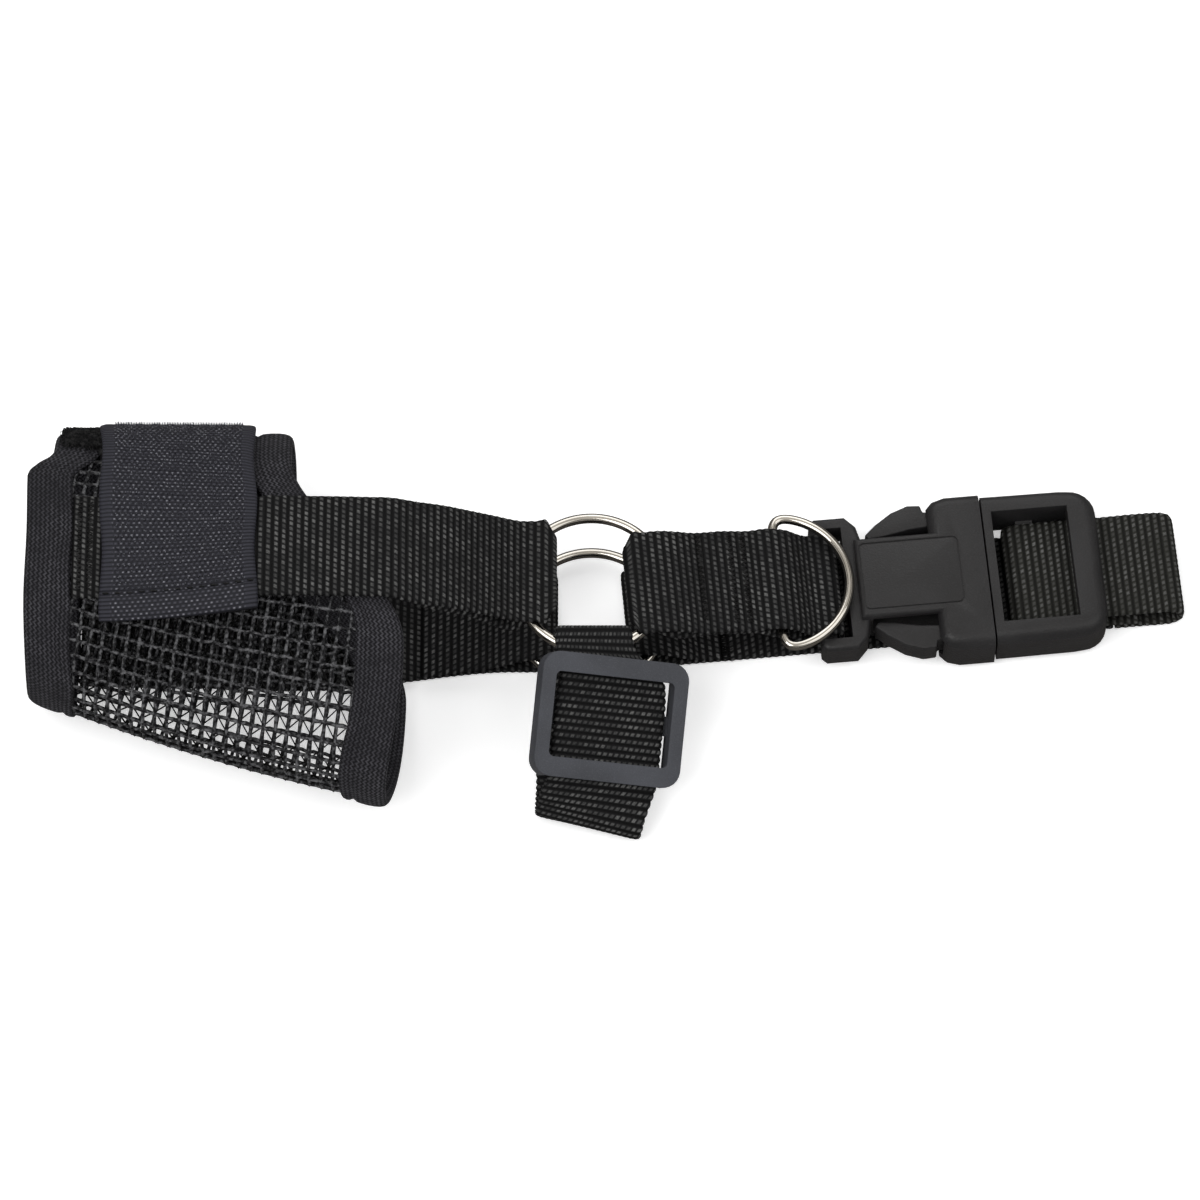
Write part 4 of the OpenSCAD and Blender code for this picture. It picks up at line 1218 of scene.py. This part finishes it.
class HALTER_OT_straps(bpy.types.Operator):
    """Weaves the cheek, neck and throat straps"""

    bl_idname = "halter.straps"
    bl_label = "Webbing straps"

    def execute(self, context):
        sizes, cloth = context.scene.halter_sizes, finish("black_webbing")
        left = webbing_piece("left_cheek_webbing", left_cheek(), sizes, cloth)
        attach(left, "muzzle", "webbing", "left_cheek_strap")
        right = webbing_piece("right_cheek_webbing", right_cheek(), sizes, cloth)
        attach(right, "muzzle", "webbing", "right_cheek_strap")
        doubled = webbing_piece("left_neck_webbing", left_neck(), sizes, cloth, closed=True)
        attach(doubled, "collar", "webbing", "left_neck_strap")
        neck = webbing_piece("right_neck_webbing", right_neck(), sizes, cloth)
        bend_between(neck, "collar", "plug", to_collar([42, 0, 0]), to_collar([118, 0, 0]), "webbing",
                     "right_neck_strap")
        attach(make_fray(cloth), "collar", "webbing")
        end = webbing_piece("end_loop_webbing", end_loop(), sizes, finish("strap_end"))
        attach(end, "plug", "webbing", "strap_end_loop")
        strap = webbing_piece("throat_webbing", throat(), sizes, cloth)
        attach(strap, "throat", "webbing", "throat_strap")
        return {"FINISHED"}


class HALTER_OT_tacks(bpy.types.Operator):
    """Sews the bar tacks"""

    bl_idname = "halter.tacks"
    bl_label = "Bar tacks"

    def execute(self, context):
        thread = finish("sewing_thread")
        lines = []
        for x in (CHEEK_LEFT + 1.5, CHEEK_LEFT + 4):
            mid, lift = cheek_mid(x, CHEEK_REST[1]), over_edge(x) + 1.6
            for y0, y1 in ((-11, -4), (-4, 4), (4, 11)):
                ends = [(x, mid + y, skin_z(x, mid + y, lift, 1)) for y in (y0, y1)]
                lines.append((*ends, (0, 0, 1)))
        attach(bar_tacks("cheek_thread", lines, thread), "muzzle", "thread", "cheek_tacks")
        tilt = unit(np.array([0.32, 0, 1.0]))
        lines = []
        for x in (25.4, 32.6, 35.6):
            z = neck_level(x) + 1.62
            lines.append((*to_collar([(x, -11, z), (x, 11, z)]), tilt))
        attach(bar_tacks("neck_thread", lines, thread), "collar", "thread", "neck_tacks")
        lines = [((AXIS[0] - 10, AXIS[1] - r, 3.2), (AXIS[0] + 10, AXIS[1] - r, 3.2), (0, 0, 1))
                 for r in (27, 29.5)]
        attach(bar_tacks("throat_thread", lines, thread), "throat", "thread", "throat_tacks")
        return {"FINISHED"}


class HALTER_OT_rings(bpy.types.Operator):
    """Bends and welds the two O-rings and the D-ring"""

    bl_idname = "halter.rings"
    bl_label = "Rings"

    def execute(self, context):
        nickel = finish("bright_nickel")
        a = np.linspace(0, 2 * math.pi, 160, endpoint=False)
        for side, z, weld in (("left", LEFT_RING_Z, 0.36), ("right", RIGHT_RING_Z, 0.6)):
            x, y = AXIS[0] + RING_R * np.cos(a), AXIS[1] + RING_R * np.sin(a)
            path = np.stack([x, y, np.full(len(a), z)], 1)
            ring = wire_loop(side + "_o_ring", path, RING_WIRE, nickel, weld)
            attach(ring, "ring_" + side, "nickel", side + "_ring")
        corner = 1.6
        bow = np.radians(np.linspace(-90, 90, 90))
        points = [(DEE_R * math.cos(k), DEE_R * math.sin(k)) for k in bow]
        points += [(0.0, y) for y in np.linspace(DEE_R - corner, -DEE_R + corner, 60)]
        flat = np.array(points)
        for _ in range(30):
            flat = (np.roll(flat, 1, 0) + 2 * flat + np.roll(flat, -1, 0)) / 4
        path = to_collar(np.column_stack([flat[:, 0] + DEE[0], flat[:, 1], np.full(len(flat), DEE[1])]))
        attach(wire_loop("lead_d_ring", path, DEE_WIRE, nickel, 0.82), "lead_dee", "nickel", "d_ring")
        return {"FINISHED"}


class HALTER_OT_buckle(bpy.types.Operator):
    """Moulds the side-release buckle"""

    bl_idname = "halter.buckle"
    bl_label = "Buckle"

    def execute(self, context):
        plastic = finish("buckle_plastic")
        for name, node, body, width in (("housing_moulding", "buckle_housing", "collar", 0.55),
                                        ("plug_moulding", "buckle_plug", "plug", 0.7),
                                        ("upper_arm_moulding", "latch_arm_upper", "arm_upper", 1.3),
                                        ("lower_arm_moulding", "latch_arm_lower", "arm_lower", 1.3)):
            attach(rounded_copy(name, node, width, 3, plastic), body, "acetal", node)
        return {"FINISHED"}


class HALTER_OT_slider(bpy.types.Operator):
    """Moulds the slider on the throat strap"""

    bl_idname = "halter.slider"
    bl_label = "Slider"

    def execute(self, context):
        slider = rounded_copy("slider_moulding", "throat_slider", 1.1, 4, finish("grained_plastic"))
        attach(slider, "slider", "slider_plastic", "throat_slider")
        return {"FINISHED"}


class HALTER_OT_stage(bpy.types.Operator):
    """Sets the floor, the lights and the camera"""

    bl_idname = "halter.stage"
    bl_label = "Stage"

    def execute(self, context):
        scene = context.scene
        make_floor(scene.halter_colours.floor)
        light_world(scene)
        for name, place, size, power in (("Key", (-0.45, -0.35, 0.9), 0.6, 5.0),
                                         ("Fill", (0.6, -0.2, 0.8), 0.8, 2.5),
                                         ("Back", (0.0, 0.75, 0.6), 0.7, 3.0)):
            lamp = bpy.data.lights.new(name, "AREA")
            lamp.size, lamp.energy = size, power
            obj = bpy.data.objects.new(name, lamp)
            scene.collection.objects.link(obj)
            obj.location = place
            obj.rotation_euler = (-Vector(place)).to_track_quat("-Z", "Y").to_euler()

        data = bpy.data.cameras.new("Camera")
        data.lens, data.sensor_width = 233.0, 36.0
        data.clip_start, data.clip_end = 0.05, 20.0
        camera = bpy.data.objects.new("Camera", data)
        scene.collection.objects.link(camera)
        aim, above, away = Vector((-0.00104, 0.0135, 0.0)), math.radians(65), 1.8
        camera.location = aim + away * Vector((0, -math.cos(above), math.sin(above)))
        camera.rotation_euler = (math.radians(90) - above, 0, 0)
        scene.camera = camera
        scene.view_settings.view_transform = "Standard"
        return {"FINISHED"}


STEPS = (HALTER_OT_finishes, HALTER_OT_net, HALTER_OT_bindings, HALTER_OT_closure, HALTER_OT_straps,
         HALTER_OT_tacks, HALTER_OT_rings, HALTER_OT_buckle, HALTER_OT_slider, HALTER_OT_stage)


class HALTER_PT_panel(bpy.types.Panel):
    """Lists the pieces and their settings"""

    bl_label = "Head halter"
    bl_idname = "HALTER_PT_panel"
    bl_space_type = "VIEW_3D"
    bl_region_type = "UI"
    bl_category = "Halter"

    def draw(self, context):
        layout = self.layout
        for group in (context.scene.halter_sizes, context.scene.halter_colours):
            box = layout.box()
            for key in group.__annotations__:
                box.prop(group, key)
        for step in STEPS:
            layout.operator(step.bl_idname)


CLASSES = (HalterSizes, HalterColours, *STEPS, HALTER_PT_panel)


def register():
    for cls in CLASSES:
        bpy.utils.register_class(cls)
    bpy.types.Scene.halter_sizes = bpy.props.PointerProperty(type=HalterSizes)
    bpy.types.Scene.halter_colours = bpy.props.PointerProperty(type=HalterColours)


def unregister():
    del bpy.types.Scene.halter_colours
    del bpy.types.Scene.halter_sizes
    for cls in reversed(CLASSES):
        bpy.utils.unregister_class(cls)


def main():
    register()
    for step in STEPS:
        group, name = step.bl_idname.split(".")
        getattr(getattr(bpy.ops, group), name)()


if __name__ == "__main__":
    main()
